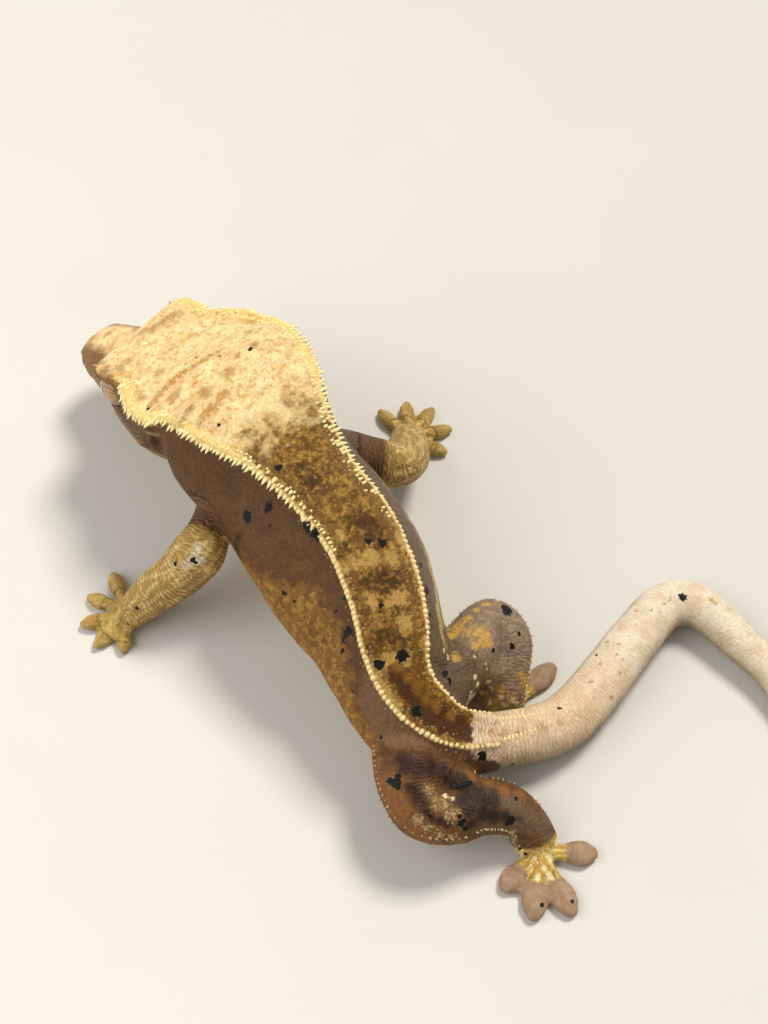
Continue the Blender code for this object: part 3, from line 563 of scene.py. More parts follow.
def crest_rows(sign, first):
    """One side's crest, from a head section to the tail: points, outward ways and scale lengths."""
    rows = []
    for x, _, cy, cz, *_ in HEAD_SECTIONS[first:11]:
        rows.append((*head_point(x, sign * cy, cz), *head_way(-0.2, sign * 0.85, -0.3), 1.4))
    trunk = np.array(TRUNK_SECTIONS[1:])
    ways = directions(trunk[:, :3])
    for (x, y, z, roll, crest, *_), way, length in zip(trunk, ways, CREST_LENGTHS):
        side = sign * np.array((way[1], -way[0], 0.0))
        tip = math.radians(roll)
        spot = np.array((x, y, z)) + crest * (side * math.cos(tip) - np.array((0, 0, sign * math.sin(tip))))
        rows.append((*spot, *(0.9 * side + np.array((0, 0, 0.5 - 0.5 * length)) + 0.25 * way), length))
    return smooth_rows(rows, 6)


def eye_places():
    """Each eye's middle and the way it looks, by side."""
    return {name: (head_point(-0.4, sign * 6.7, -4.1), head_way(0.24, sign * 0.95, 0.12))
            for name, sign in (("eye_left", 1), ("eye_right", -1))}


def facing(middle, way):
    """A matrix from millimetres about a point, with z along a direction, to metres."""
    turn = Vector(way).to_track_quat("Z", "Y").to_matrix().to_4x4()
    return Matrix.Scale(0.001, 4) @ (Matrix.Translation(middle) @ turn)


def new_thing(name, data):
    """An object in the scene for a mesh, a light or a camera."""
    made = bpy.data.objects.new(name, data)
    bpy.context.scene.collection.objects.link(made)
    return made


def settle(thing):
    """The object's mesh as its modifiers leave it, with the modifiers taken off."""
    bpy.context.view_layer.update()
    graph = bpy.context.evaluated_depsgraph_get()
    mesh = bpy.data.meshes.new_from_object(thing.evaluated_get(graph))
    thing.modifiers.clear()
    thing.data = mesh
    return thing


def add_rims(form):
    """A raised ring of skin round each eye."""
    for middle, way in eye_places().values():
        bpy.ops.mesh.primitive_torus_add(major_segments=48, minor_segments=14,
                                         major_radius=RIM_RADIUS, minor_radius=RIM_THICKNESS)
        rim = bpy.context.object
        rim.data.transform(facing(middle + RIM_OUT * way, way))
        form.from_mesh(rim.data)
        bpy.data.objects.remove(rim, do_unlink=True)


def fused_skin():
    """The lofted forms as one skin."""
    form = bmesh.new()
    loft_head(form)
    loft_trunk(form)
    limb(form, TAIL)
    for rows in (*LEGS.values(), *FOLDS.values()):
        limb(form, rows)
    loft_feet(form)
    for sign in (1, -1):
        rows = crest_rows(sign, 6)
        inner = rows[:, :3] - 0.45 * rows[:, 3:6]
        limb(form, [(*spot, RIDGE, RIDGE) for spot in inner], 1, 16)
    add_rims(form)
    skin = new_thing("skin", mesh_of(form, "skin"))
    grain = skin.modifiers.new("fuse", "REMESH")
    grain.mode = "VOXEL"
    grain.voxel_size = SKIN_GRAIN * 0.001
    soften = skin.modifiers.new("soften", "SMOOTH")
    soften.factor = 0.5
    soften.iterations = 7
    return settle(skin)


def spots_of(mesh):
    """Vertex places in millimetres, and vertex normals."""
    total = len(mesh.vertices)
    places = np.zeros(total * 3)
    ways = np.zeros(total * 3)
    mesh.vertices.foreach_get("co", places)
    mesh.vertices.foreach_get("normal", ways)
    return places.reshape(-1, 3) * 1000, ways.reshape(-1, 3)


def put_spots(mesh, places):
    """Puts vertices at places in millimetres."""
    mesh.vertices.foreach_set("co", (places * 0.001).ravel())
    mesh.update()


def surface_of(mesh):
    """A tree of a mesh's faces for casting rays."""
    form = bmesh.new()
    form.from_mesh(mesh)
    tree = BVHTree.FromBMesh(form)
    form.free()
    return tree


def hit(tree, start, way):
    """Where a ray first meets the skin, in millimetres, or None."""
    spot = tree.ray_cast(mm(*start), Vector(way))[0]
    return None if spot is None else np.array(spot) * 1000


def on_skin(tree, place):
    """The point of the skin nearest to a place, and the skin's normal there."""
    root, normal, *_ = tree.find_nearest(mm(*place))
    return np.array(root) * 1000, np.array(normal)


def in_head(points):
    """Points in the head's own frame."""
    back = np.array(head_frame().inverted())
    return points @ back[:3, :3].T + back[:3, 3]


def nearest(points, path):
    """For each point: how far a path is, the row of the path there as a fraction, and the offset."""
    best = np.full(len(points), 1e9)
    row = np.zeros(len(points))
    offset = np.zeros((len(points), 3))
    for k in range(len(path) - 1):
        step = path[k + 1] - path[k]
        share = np.clip(((points - path[k]) @ step) / (step @ step), 0, 1)
        gap = points - path[k] - share[:, None] * step
        far = np.linalg.norm(gap, axis=1)
        closer = far < best
        best[closer] = far[closer]
        row[closer] = k + share[closer]
        offset[closer] = gap[closer]
    return best, row, offset


def reach_at(path, row):
    """Length along a path at fractional rows."""
    lengths = np.concatenate([[0.0], np.cumsum(np.linalg.norm(np.diff(path, axis=0), axis=1))])
    return np.interp(row, np.arange(len(path)), lengths)


def read_at(rows, scale, spot):
    """Every column of some rows, read between them at a spot of their scale."""
    return np.array([np.interp(spot, scale, column) for column in rows.T])


def mouth_path(tree):
    """The closed mouth's line on the skin, from the left corner round the snout to the right one."""
    side = [(x, -7.6 - 0.07 * (12 - x) + 0.055 * max(0.0, -4.5 - x) ** 2) for x in np.arange(-8.6, 9.5, 0.6)]
    left = [hit(tree, head_point(x, 0, z), head_way(0, 1, 0)) for x, z in side]
    right = [hit(tree, head_point(x, 0, z), head_way(0, -1, 0)) for x, z in reversed(side)]
    turns = [math.radians(a) for a in range(70, -71, -7)]
    front = [hit(tree, head_point(9.5, 0, -7.7), head_way(math.cos(a), math.sin(a), 0)) for a in turns]
    return np.array(left + front + right)


def rough(places, size, seed):
    """Smooth noise about zero over places in millimetres."""
    shift = Vector((seed * 7.1, seed * 3.3, seed * 5.7))
    return np.array([noise.noise(Vector(p) / size + shift) for p in places])


def ear_lift(places, tree, sign):
    """The oval opening of one ear and its raised rim."""
    ear = hit(tree, head_point(-12.6, 0, -7.2), head_way(0, sign, 0))
    axes = (((1, 0, 0), 0.75), ((0, 0, 1), 1.25), ((0, 1, 0), 2.0))
    shares = [(places - ear) @ head_way(*way) / size for way, size in axes]
    oval = np.sqrt(sum(share ** 2 for share in shares))
    return -0.9 * np.exp(-oval ** 2.4) + bell(oval, 0.12, 0.5, 1.6)


def sculpt(skin):
    """Moves the skin for the lips, nostrils, ears, the groove by the brow and the unevenness of a living
    animal.
    """
    places, ways = spots_of(skin.data)
    tree = surface_of(skin.data)
    lift = np.zeros(len(places))
    far = nearest(places, mouth_path(tree))[0]
    lift += bell(far, -0.42, 0.33) + bell(far, 0.13, 0.5, 1.0)
    for sign in (1, -1):
        nostril = hit(tree, head_point(10.0, 0, -6.0), head_way(0.72, sign * 0.69, 0.1))
        far = np.linalg.norm(places - nostril, axis=1)
        lift += bell(far, -0.55, 0.42) + bell(far, 0.16, 0.4, 0.85)
        lift += ear_lift(places, tree, sign)
    groove = np.array([seen_at(tree, across, down) for across, down in HEAD_GROOVE])
    lift += bell(nearest(places, groove)[0], -0.16, 0.7)
    lift += 0.07 * rough(places, 2.6, 1) + 0.1 * rough(places, 5.0, 2) - 0.05
    places += ways * lift[:, None]
    put_spots(skin.data, places)


def cut_sockets(skin):
    """The round socket that each eye fills."""
    tools = bpy.data.collections.new("sockets")
    bpy.context.scene.collection.children.link(tools)
    for middle, way in eye_places().values():
        form = bmesh.new()
        bmesh.ops.create_uvsphere(form, u_segments=64, v_segments=40, radius=SOCKET_RADIUS)
        bmesh.ops.transform(form, matrix=facing(middle, way), verts=form.verts)
        tools.objects.link(bpy.data.objects.new("socket", mesh_of(form, "socket")))
    step = skin.modifiers.new("sockets", "BOOLEAN")
    step.operation = "DIFFERENCE"
    step.operand_type = "COLLECTION"
    step.collection = tools
    step.solver = "MANIFOLD"
    settle(skin)
    for tool in list(tools.objects):
        bpy.data.objects.remove(tool, do_unlink=True)
    bpy.data.collections.remove(tools)


def trim_floor(skin):
    """The skin cut level at the floor, so that pads and tail rest on small flats."""
    form = bmesh.new()
    form.from_mesh(skin.data)
    everything = form.verts[:] + form.edges[:] + form.faces[:]
    cut = bmesh.ops.bisect_plane(form, geom=everything, dist=1e-7, plane_co=(0, 0, 0), plane_no=(0, 0, 1),
                                 clear_inner=True)
    rim = [e for e in cut["geom_cut"] if isinstance(e, bmesh.types.BMEdge)]
    bmesh.ops.edgeloop_fill(form, edges=rim)
    bmesh.ops.triangulate(form, faces=form.faces)
    form.to_mesh(skin.data)
    form.free()


def thin_out(skin):
    """The skin with its plain stretches in fewer triangles."""
    skin.data.calc_loop_triangles()
    step = skin.modifiers.new("thin", "DECIMATE")
    step.ratio = min(1.0, SKIN_TRIANGLES / len(skin.data.loop_triangles))
    settle(skin)
    places, _ = spots_of(skin.data)
    places[:, 2] = np.maximum(places[:, 2], 0.0)
    put_spots(skin.data, places)
    skin.data.shade_smooth()


# Markings, and the painted shade and highlights among them

def photo_axes():
    """The photograph's camera: its place, and the ways right, up and forward."""
    turn, rise = math.radians(VIEW_TURN), math.radians(VIEW_RISE)
    out = np.array((math.sin(turn) * math.cos(rise), -math.cos(turn) * math.cos(rise), math.sin(rise)))
    right = np.array((math.cos(turn), math.sin(turn), 0.0))
    return np.array(LOOK_AT) + VIEW_REACH * out, right, np.cross(out, right), -out


def seen_at(tree, across, down):
    """The point of the skin that the photograph shows at a place in its frame."""
    place, right, up, forward = photo_axes()
    way = forward * VIEW_FOCUS + right * (across - FRAME_SIZE[0] / 2) - up * (down - FRAME_SIZE[1] / 2)
    return hit(tree, place, way)


def seen_spots(tree, table):
    """The points of the skin that a table's places show, each with its radius."""
    spots = [(seen_at(tree, across, down), radius) for across, down, radius in table]
    return [(place, radius) for place, radius in spots if place is not None]


def spot_field(points, spots):
    """1 in the middle of the nearest spot, one half at its rim and 0 outside."""
    field = np.zeros(len(points))
    for place, radius in spots:
        field = np.maximum(field, 1 - 0.5 * np.linalg.norm(points - place, axis=1) / radius)
    return field


def black_spots(points, ways, tree):
    """The black spots that the photograph shows, and as dense a sprinkling on the sides that it hides."""
    chance = np.random.default_rng(SEED)
    out = -photo_axes()[3]
    away = np.flatnonzero((ways @ out < -0.05) & (points[:, 2] > 4.0) & (ways[:, 2] > -0.6))
    chosen = chance.choice(away, HIDDEN_SPOTS, replace=False)
    hidden = [(points[k], chance.choice((0.25, 0.3, 0.4, 0.5, 0.7))) for k in chosen]
    return seen_spots(tree, BLACK_SPOTS) + hidden


def spine_path():
    """The line from the snout to the tip of the tail, and its lengths at the neck and the tail's root."""
    head = [head_point(x, 0, -6.5) for x in (15, 10, 5, 0, -5, -10, -15)]
    trunk = [(x, y, z - 0.5 * depth) for x, y, z, _, _, _, _, depth, *_ in TRUNK_SECTIONS[2:13]]
    tail = [row[:3] for row in TAIL[2:]]
    steps = 3
    path = smooth_rows(head + trunk + tail, steps)
    ends = np.array((len(head) - 1, len(head) + len(trunk) - 1))
    return path, reach_at(path, steps * ends)


def crest_side(points, sign):
    """How far points lie from one crest line: above zero on the back, below on the flank."""
    rows = crest_rows(sign, 0)
    far, row, offset = nearest(points, rows[:, :3])
    outward = read_at(rows[:, 3:6], np.arange(len(rows)), row).T
    outward[:, 2] = 0.0
    outward /= np.linalg.norm(outward, axis=1)[:, None]
    down = 0.75 * (offset * outward).sum(axis=1) - 0.66 * offset[:, 2]
    return -np.sign(down) * far


LEG_MEASURES = ("share", "row", "number", "reach", "height", "turn")


def on_legs(points):
    """The nearest leg: share, row, number, length along it, height in widths, and turn round it in mm."""
    leg = SimpleNamespace(**{key: np.zeros(len(points)) for key in LEG_MEASURES})
    for number, rows in enumerate(LEGS.values()):
        path = smooth_rows(rows, 4)
        far, row, offset = nearest(points, path[:, :3])
        wide = np.interp(row, np.arange(len(path)), path[:, 3])
        way = directions(path[:, :3])[row.astype(int)]
        level = np.cross((0.0, 0.0, 1.0), way)
        share = ramp(row / 4, 0.9, 2.0) * ramp(far / wide, 1.75, 1.35)
        better = share > leg.share
        leg.share[better] = share[better]
        leg.row[better] = (row / 4)[better]
        leg.number[better] = number
        leg.reach[better] = reach_at(path[:, :3], row)[better]
        leg.height[better] = (offset[:, 2] / np.maximum(wide, 0.1))[better]
        leg.turn[better] = (np.arctan2((offset * level).sum(axis=1), offset[:, 2]) * 3.2)[better]
    return leg


def on_toes(points):
    """The nearest toe: share of its reach from 0 to 1, distance, its foot's number and a map along it."""
    total = len(points)
    toe = SimpleNamespace(far=np.full(total, 1e9), row=np.zeros(total), foot=np.zeros(total),
                          flow=np.zeros((total, 3)))
    for number, (middle, _, toes) in enumerate(FEET.values()):
        start = np.array((*middle, TOE_HEIGHT))
        for k, (heading, reach) in enumerate(toes):
            way = toe_way(heading)
            far, row, offset = nearest(points, np.array((start, start + way * reach)))
            side = offset @ np.cross((0.0, 0.0, 1.0), way)
            own = np.full(total, 5.0 * k + 30.0 * number)
            closer = far < toe.far
            toe.far[closer] = far[closer]
            toe.row[closer] = row[closer]
            toe.foot[closer] = number
            toe.flow[closer] = np.stack([row * reach / 3, side, own], axis=1)[closer]
    return toe


def whereabouts(points):
    """Where points lie on the animal: lengths along and across it in mm, and their shares of its parts."""
    at = SimpleNamespace()
    path, (at.neck, at.tail_root) = spine_path()
    spine_far, row, offset = nearest(points, path)
    level = np.cross(directions(path)[row.astype(int)], (0.0, 0.0, 1.0))
    at.along = reach_at(path, row)
    at.turn = np.arctan2((offset * level).sum(axis=1), offset[:, 2]) * 3.6
    at.rear = points[:, 1]
    at.head_x = in_head(points)[:, 0]
    at.left, at.right = crest_side(points, 1), crest_side(points, -1)
    at.band = np.minimum(at.left, at.right)
    at.leg, at.toe = on_legs(points), on_toes(points)
    at.hind = (at.leg.number >= 2) * 1.0
    at.foot = ramp(at.toe.far, 3.4, 2.2) * ramp(points[:, 2], 4.6, 3.2)
    limbless = 1 - np.maximum(at.leg.share, at.foot)
    at.tail = ramp(at.along, at.tail_root - 1.2, at.tail_root + 0.6) * ramp(spine_far, 7.2, 5.6) * limbless
    at.body = (1 - at.tail) * limbless
    at.head = ramp(at.along, at.neck + 9, at.neck - 1)
    at.cape = ramp(at.along, at.neck + 19, at.neck + 9)
    at.back = ramp(at.band, -0.5, 0.5) * at.body
    return at


def trunk_fields(at, ways):
    """The fields of the flanks, belly, back and head."""
    pale_from = np.interp(at.rear, *PALE_FLANK_START)
    edge_far = np.abs(-at.right - np.interp(at.rear, *FLANK_EDGE_START))
    edge_share = np.interp(at.rear, *FLANK_EDGE_SHARE)
    muzzle = ramp(at.head_x, 1.5, 5.5) * ramp(at.along, 22, 18)
    behind_brow = np.maximum(ramp(at.head_x, -1.5, -6.0), at.right < at.left)
    crested = (at.body + at.tail * ramp(at.along, at.tail_root + 5, at.tail_root)).clip(0, 1) * (1 - muzzle)
    line_far = np.abs(at.band - 0.45 * at.cape)
    rear_flank = ramp(at.rear, 22, 30) * ramp(-at.band, -0.5, 0.8)
    return {
        "side": np.ones(len(at.band)),
        "lower_flank": ramp(-at.band, pale_from - 2.5, pale_from + 2.5) * at.body * (1 - at.head),
        "rear_flank": rear_flank * ramp(-at.band, pale_from + 1.5, pale_from - 1) * at.body,
        "right_flank": ramp(-at.right, 0.2, 1.2) * ramp(at.left, 2.0, 4.0) * at.body * (1 - at.head),
        "flank_edge": (1 - edge_far / 2.2).clip(0, 1) * ramp(at.left, 2, 4) * edge_share * at.body,
        "jaw": ramp(-at.band, 6.5, 9.5) * at.head * at.body,
        "belly": ramp(-ways[:, 2], -0.1, 0.8) * (1 - at.tail),
        "muzzle": muzzle * ramp(-at.band, -2.2, 0.6),
        "back": at.back,
        "head_top": at.back * at.cape,
        "crest_line": (1 - line_far / (0.95 + 0.9 * at.cape)).clip(0, 1) * crested * behind_brow,
        "crest_rim": (1 - np.abs(at.band - 1.5) / 1.0).clip(0, 1) * at.body * (1 - at.cape),
    }


def limb_fields(at, ways):
    """The fields of the tail, legs, feet and pads."""
    leg = at.leg
    hind_foot = at.toe.foot >= 2
    pad = at.foot * ramp(at.toe.row, 0.40, 0.56)
    return {
        "tail": at.tail,
        # Painted shade: the tail darker where its surface turns sideways and down, away from the light
        "tail_side": ramp(ways[:, 2], 0.75, -0.25) * at.tail,
        "tail_far": ramp(at.along, at.tail_root + 16, at.tail_root + 30) * at.tail,
        "hind_leg": leg.share * at.hind,
        "right_hind": leg.share * (leg.number == 3),
        "fore_leg": leg.share * (1 - at.hind) * ramp(leg.row, 2.0, 2.7),
        "upper_arm": leg.share * (1 - at.hind) * ramp(leg.row, 2.7, 2.0),
        "leg_under": leg.share * ramp(leg.height, 0.1, -0.5),
        "leg_edge": leg.share * at.hind * ramp(np.abs(leg.turn), 3.4, 4.6) * (leg.number != 2),
        "foot": at.foot,
        "hind_foot": at.foot * hind_foot,
        "pads": pad * np.where(hind_foot, 1.0, 0.3),
        "calm": np.maximum(pad * hind_foot, 0.5 * at.tail),
    }


def map_fields(at):
    """Maps along the body and the limbs, and the strength and place of the rows of scales round them."""
    leg = at.leg
    on_leg = leg.share > 0.5
    leg_flow = np.stack([leg.reach / 3, leg.turn, 9.0 * leg.number], axis=1)
    flow = np.stack([at.along, at.turn * np.where(at.tail > 0.5, 0.5, 1.0), 0 * at.along], axis=1)
    flow = np.where(on_leg[:, None], leg_flow, flow)
    rings = (at.tail * np.interp(at.along - at.tail_root, *TAIL_RINGS),
             leg.share * np.where(at.hind > 0, 0.4, 1.8),
             0.3 * at.body * (1 - at.head) * ramp(-at.band, 0, 2))
    return {
        "ring_place": np.where(on_leg, leg.reach, at.along),
        "ring_strength": np.maximum.reduce(rings),
        "map_u": at.along,
        "map_v": np.where(np.abs(at.left) < np.abs(at.right), at.left, 40 - at.right),
        "flow": np.where((at.foot > 0.5)[:, None], at.toe.flow, flow),
    }


def skin_fields(points, ways, tree, spots):
    """The named fields that place every marking and every painted shade or highlight, one half at each one's
    edge.
    """
    at = whereabouts(points)
    fields = {**trunk_fields(at, ways), **limb_fields(at, ways), **map_fields(at)}
    limits = {"dark_bars": at.back, "cream_blotches": at.back, "rust_field": ramp(at.band, 0.0, 0.8),
              "rust_glow": ramp(at.band, 0.0, 0.6), "purple_patches": at.leg.share, "grey_shin": at.leg.share}
    for name, table in PATCHES.items():
        fields[name] = spot_field(points, seen_spots(tree, table)) * limits.get(name, 1.0)
    fields["black_spots"] = spot_field(points, spots)
    for name in {row[0] for row in LAYERS}:
        fields[name] = fields[name] - 20 * (0.15 - fields[name]).clip(0)
    return fields


def store_fields(mesh, fields):
    """Keeps named fields on a mesh's points."""
    for name, values in fields.items():
        kind, key = ("FLOAT", "value") if values.ndim == 1 else ("FLOAT_VECTOR", "vector")
        spot = mesh.attributes.new(name, kind, "POINT")
        spot.data.foreach_set(key, np.asarray(values, dtype=np.float32).ravel())


# Finishes

def add(tree, kind, inputs=None, **settings):
    """Adds a node with its settings, values and links; a kind without Node in it is a shader's."""
    made = tree.nodes.new(kind if "Node" in kind else "ShaderNode" + kind)
    for key, value in settings.items():
        setattr(made, key, value)
    for key, value in (inputs or {}).items():
        if isinstance(value, bpy.types.NodeSocket):
            tree.links.new(value, made.inputs[key])
        else:
            made.inputs[key].default_value = value
    return made


# Layers over the side's brown: field, space, grain in mm, wander, level, softness, strength, colour
SIDE_COLOUR = "603D1C"
LAYERS = (
    ("side", "even", 2.6, 1.6, 1.05, 0.30, 0.5, "745028"),
    ("side", "even", 4.5, 2.4, 1.15, 0.50, 0.4, "543A26"),
    ("side", "even", 0.7, 1.6, 1.10, 0.20, 0.4, "4A2F1A"),
    ("lower_flank", "even", 1.4, 1.8, 0.5, 0.30, 0.95, "8C5F22"),
    ("lower_flank", "even", 1.0, 3.0, 1.05, 0.25, 0.7, "AE8338"),
    ("lower_flank", "even", 0.6, 3.2, 1.18, 0.20, 0.6, "6B4018"),
    ("rear_flank", "even", 2.0, 1.0, 0.5, 0.35, 0.85, "7F5D41"),
    ("right_flank", "even", 1.5, 0.5, 0.5, 0.30, 0.9, "66543F"),
    ("right_flank", "even", 0.8, 3.0, 1.15, 0.30, 0.4, "7C6852"),
    ("flank_edge", "even", 1.6, 2.6, 0.50, 0.40, 0.75, "C9B070"),
    ("jaw", "even", 2.4, 0.8, 0.5, 0.45, 0.75, "8C7348"),
    ("belly", "even", 2.6, 0.5, 0.5, 0.35, 0.9, "C8A878"),
    ("back", "even", 0.5, 0.4, 0.5, 0.12, 1.0, "7E5818"),
    ("back", "even", 1.4, 3.0, 1.00, 0.30, 0.85, "AE8536"),
    ("back", "even", 0.9, 4.0, 1.20, 0.20, 0.8, "59380E"),
    ("back", "even", 0.5, 4.0, 1.12, 0.25, 0.6, "6E4414"),
    ("back", "scales", 0.0, 3.0, 1.95, 0.25, 0.25, "C9A05A"),
    ("cream_blotches", "even", 0.7, 1.6, 0.5, 0.20, 0.85, "BE9650"),
    ("dark_bars", "even", 0.7, 1.8, 0.55, 0.28, 0.85, "442806"),
    ("crest_rim", "even", 0.9, 1.4, 0.6, 0.25, 0.6, "6E4A18"),
    ("rust_field", "even", 1.0, 0.6, 0.5, 0.16, 1.0, "4C2B0A"),
    ("rust_glow", "even", 1.2, 1.0, 0.5, 0.40, 0.8, "93641F"),
    ("head_top", "even", 1.6, 2.0, 0.5, 0.50, 1.0, "F2CE8E"),
    ("head_top", "even", 3.4, 3.0, 1.0, 0.50, 0.8, "FFE7AE"),
    ("head_top", "even", 2.0, 3.5, 1.18, 0.40, 0.5, "E6BC90"),
    ("head_top", "even", 0.9, 4.0, 1.25, 0.25, 0.6, "CE9B48"),
    ("head_top", "scales", 0.0, 3.0, 1.90, 0.30, 0.2, "FFF0C8"),
    ("muzzle", "even", 2.0, 0.5, 0.5, 0.50, 0.9, "9A7347"),
    ("muzzle", "even", 1.2, 3.4, 1.2, 0.45, 0.45, "8C6236"),
    # Tan mottling on the head, partly painted shade in the hollows by the brows
    ("head_tan", "even", 1.4, 0.8, 0.45, 0.35, 0.7, "B5854C"),
    ("head_ochre", "even", 0.5, 1.2, 0.5, 0.20, 0.7, "B9822F"),
    ("shaded_snout", "even", 1.4, 0.8, 0.45, 0.45, 0.55, "80592E"),
    ("tail", "even", 0.7, 0.8, 0.5, 0.20, 1.0, "E2C6A2"),
    ("tail_far", "even", 3.0, 0.8, 0.5, 0.60, 0.75, "EEE2CC"),
    ("tail", "even", 2.4, 3.0, 1.1, 0.50, 0.5, "D0AA82"),
    ("tail", "scales", 0.0, 3.0, 1.85, 0.30, 0.15, "F6E2C4"),
    # Painted shade on the tail's sides and underside
    ("tail_side", "even", 1.6, 0.5, 0.5, 0.45, 0.8, "927E5A"),
    ("tail_dents", "even", 0.9, 0.8, 0.5, 0.35, 0.6, "B98A66"),
    ("crest_line", "even", 0.5, 0.6, 0.5, 0.20, 1.0, "F6D488"),
    ("upper_arm", "even", 1.0, 0.3, 0.5, 0.25, 1.0, "6A4A30"),
    ("fore_leg", "even", 1.0, 0.4, 0.5, 0.20, 1.0, "B08E4C"),
    # Pale cream streaks along the forearm, partly a painted highlight on its upper face
    ("fore_leg", "flow", 0.8, 3.0, 1.1, 0.30, 0.6, "E6CA88"),
    ("hind_leg", "even", 1.4, 0.5, 0.5, 0.25, 1.0, "634122"),
    ("hind_leg", "even", 0.8, 3.0, 1.12, 0.30, 0.5, "7A5630"),
    ("right_hind", "even", 1.4, 0.5, 0.5, 0.25, 1.0, "8A7360"),
    ("right_hind", "even", 1.0, 3.0, 1.08, 0.35, 0.6, "AA9272"),
    # Purple-brown thigh patches, partly painted shade of the fold between thigh and shank
    ("purple_patches", "even", 1.4, 0.8, 0.5, 0.35, 0.92, "241811"),
    ("grey_shin", "even", 1.2, 0.8, 0.5, 0.40, 0.85, "735D47"),
    ("leg_under", "even", 1.4, 0.5, 0.5, 0.40, 0.75, "9A6E36"),
    ("leg_edge", "even", 1.2, 1.6, 0.6, 0.45, 0.6, "A5854C"),
    ("orange_edges", "even", 1.2, 1.0, 0.45, 0.35, 0.9, "8C5A28"),
    ("scaly_patches", "even", 1.0, 0.8, 0.5, 0.30, 0.6, "8A6A3C"),
    ("scaly_patches", "scales", 0.0, 1.6, 1.02, 0.20, 0.6, "B9A276"),
    # Painted shadow in the crease between the trunk and the left thigh, and at the armpit
    ("brown_folds", "even", 1.2, 0.8, 0.45, 0.40, 0.92, "2F170A"),
    ("yellow_patches", "flow", 0.6, 1.8, 0.5, 0.40, 0.9, "D3A648"),
    ("foot", "even", 0.8, 0.4, 0.5, 0.20, 1.0, "AE8C48"),
    ("foot", "flow", 0.9, 3.0, 1.05, 0.40, 0.7, "CDB068"),
    ("hind_foot", "flow", 0.6, 3.2, 1.02, 0.30, 0.95, "D0A23A"),
    ("hind_foot", "even", 1.1, 3.6, 1.3, 0.30, 0.7, "B47A2C"),
    # Fine pale streaks on the hind feet, partly painted highlights
    ("hind_foot", "flow", 0.45, 4.0, 1.2, 0.25, 0.9, "EBD48C"),
    ("pads", "even", 1.2, 0.3, 0.5, 0.25, 1.0, "9C7E62"),
    ("pads", "even", 1.0, 3.0, 1.12, 0.40, 0.5, "B79C82"),
    # Cream scale streaks, partly painted highlights and painted light
    ("cream_streaks", "flow", 0.4, 1.0, 0.5, 0.20, 0.9, "F5E2AE"),
    # Pale elbow patch, partly a painted highlight
    ("pale_elbow", "flow", 0.5, 1.2, 0.5, 0.30, 0.7, "DCCBB0"),
    ("tail_flecks", "even", 0.4, 1.2, 0.5, 0.25, 0.75, "AE7C30"),
)
BLACK_LAYER = ("black_spots", "even", 0.8, 1.1, 0.5, 0.05, 1.0, "0B0908")
BLACK_NUMBER = 90

# How far apart, in mm, the layers take their noise, so that no two of them look alike
NOISE_APART = 17.0


def field_layer(tree, number, spaces, colour, row):
    """One marking, painted shade or painted highlight over the colour so far: its field, roughened by noise
    or scale by scale, cut at a level.
    """
    field, space, grain, wander, level, soft, strength, tint = row
    value = add(tree, "Attribute", attribute_name=field).outputs["Fac"]
    if space == "scales":
        edge = spaces[space]
    else:
        own = add(tree, "VectorMath", {0: spaces[space], 1: (number * NOISE_APART, 0.0, 0.0)}).outputs[0]
        edge = add(tree, "TexNoise", {"Vector": own, "Scale": 1.0 / grain, "Detail": 2.0}).outputs[0]
    moved = add(tree, "Math", {0: edge, 1: wander, 2: value}, operation="MULTIPLY_ADD").outputs[0]
    low = level + wander / 2 - soft
    mask = add(tree, "MapRange", {"Value": moved, 1: low, 2: low + 2 * soft, 3: 0.0, 4: strength},
               interpolation_type="SMOOTHSTEP").outputs[0]
    return add(tree, "Mix", {0: mask, 6: colour, 7: linear(tint)}, data_type="RGBA").outputs[2]


def new_finish(name, values):
    """A new material with these values on its shader: the material, its tree and its shader."""
    finish = bpy.data.materials.new(name)
    finish.use_nodes = True
    shader = finish.node_tree.nodes["Principled BSDF"]
    for key, value in values.items():
        shader.inputs[key].default_value = value
    return finish, finish.node_tree, shader


def pattern_spaces(tree):
    """Millimetres on the animal, the map that runs along its limbs, and a chance value for each granule."""
    place = add(tree, "TexCoord").outputs["Object"]
    even = add(tree, "VectorMath", {0: place, "Scale": 1000.0}, operation="SCALE").outputs[0]
    beads = add(tree, "TexVoronoi", {"Vector": even, "Scale": 1.0 / SCALE_SIZE}).outputs
    chance = add(tree, "SeparateColor", {0: beads["Color"]}).outputs
    flow = add(tree, "Attribute", attribute_name="flow").outputs["Vector"]
    return {"even": even, "flow": flow, "scales": chance[1], "tone": chance[0], "dome": beads["Distance"]}


def marked_colour(tree, spaces):
    """The side's brown with every marking, painted shade and painted highlight laid over it, up to the black
    spots.
    """
    colour = linear(SIDE_COLOUR)
    for number, row in enumerate(LAYERS):
        colour = field_layer(tree, number, spaces, colour, row)
    return colour


def wrinkles(tree, spaces):
    """Fine rows of scales that run round the limbs and the tail, 0.6 mm apart."""
    strength = add(tree, "Attribute", attribute_name="ring_strength").outputs["Fac"]
    along = add(tree, "Attribute", attribute_name="ring_place").outputs["Fac"]
    waver = add(tree, "TexNoise", {"Vector": spaces["even"], "Scale": 0.4, "Detail": 2.0}).outputs[0]
    phase = add(tree, "Math", {0: waver, 1: 2.4, 2: along}, operation="MULTIPLY_ADD").outputs[0]
    wave = add(tree, "Math", {0: phase, 1: 2 * math.pi / WRINKLE_PITCH}, operation="MULTIPLY").outputs[0]
    wave = add(tree, "Math", {0: wave}, operation="SINE").outputs[0]
    return add(tree, "Math", {0: wave, 1: strength}, operation="MULTIPLY").outputs[0]


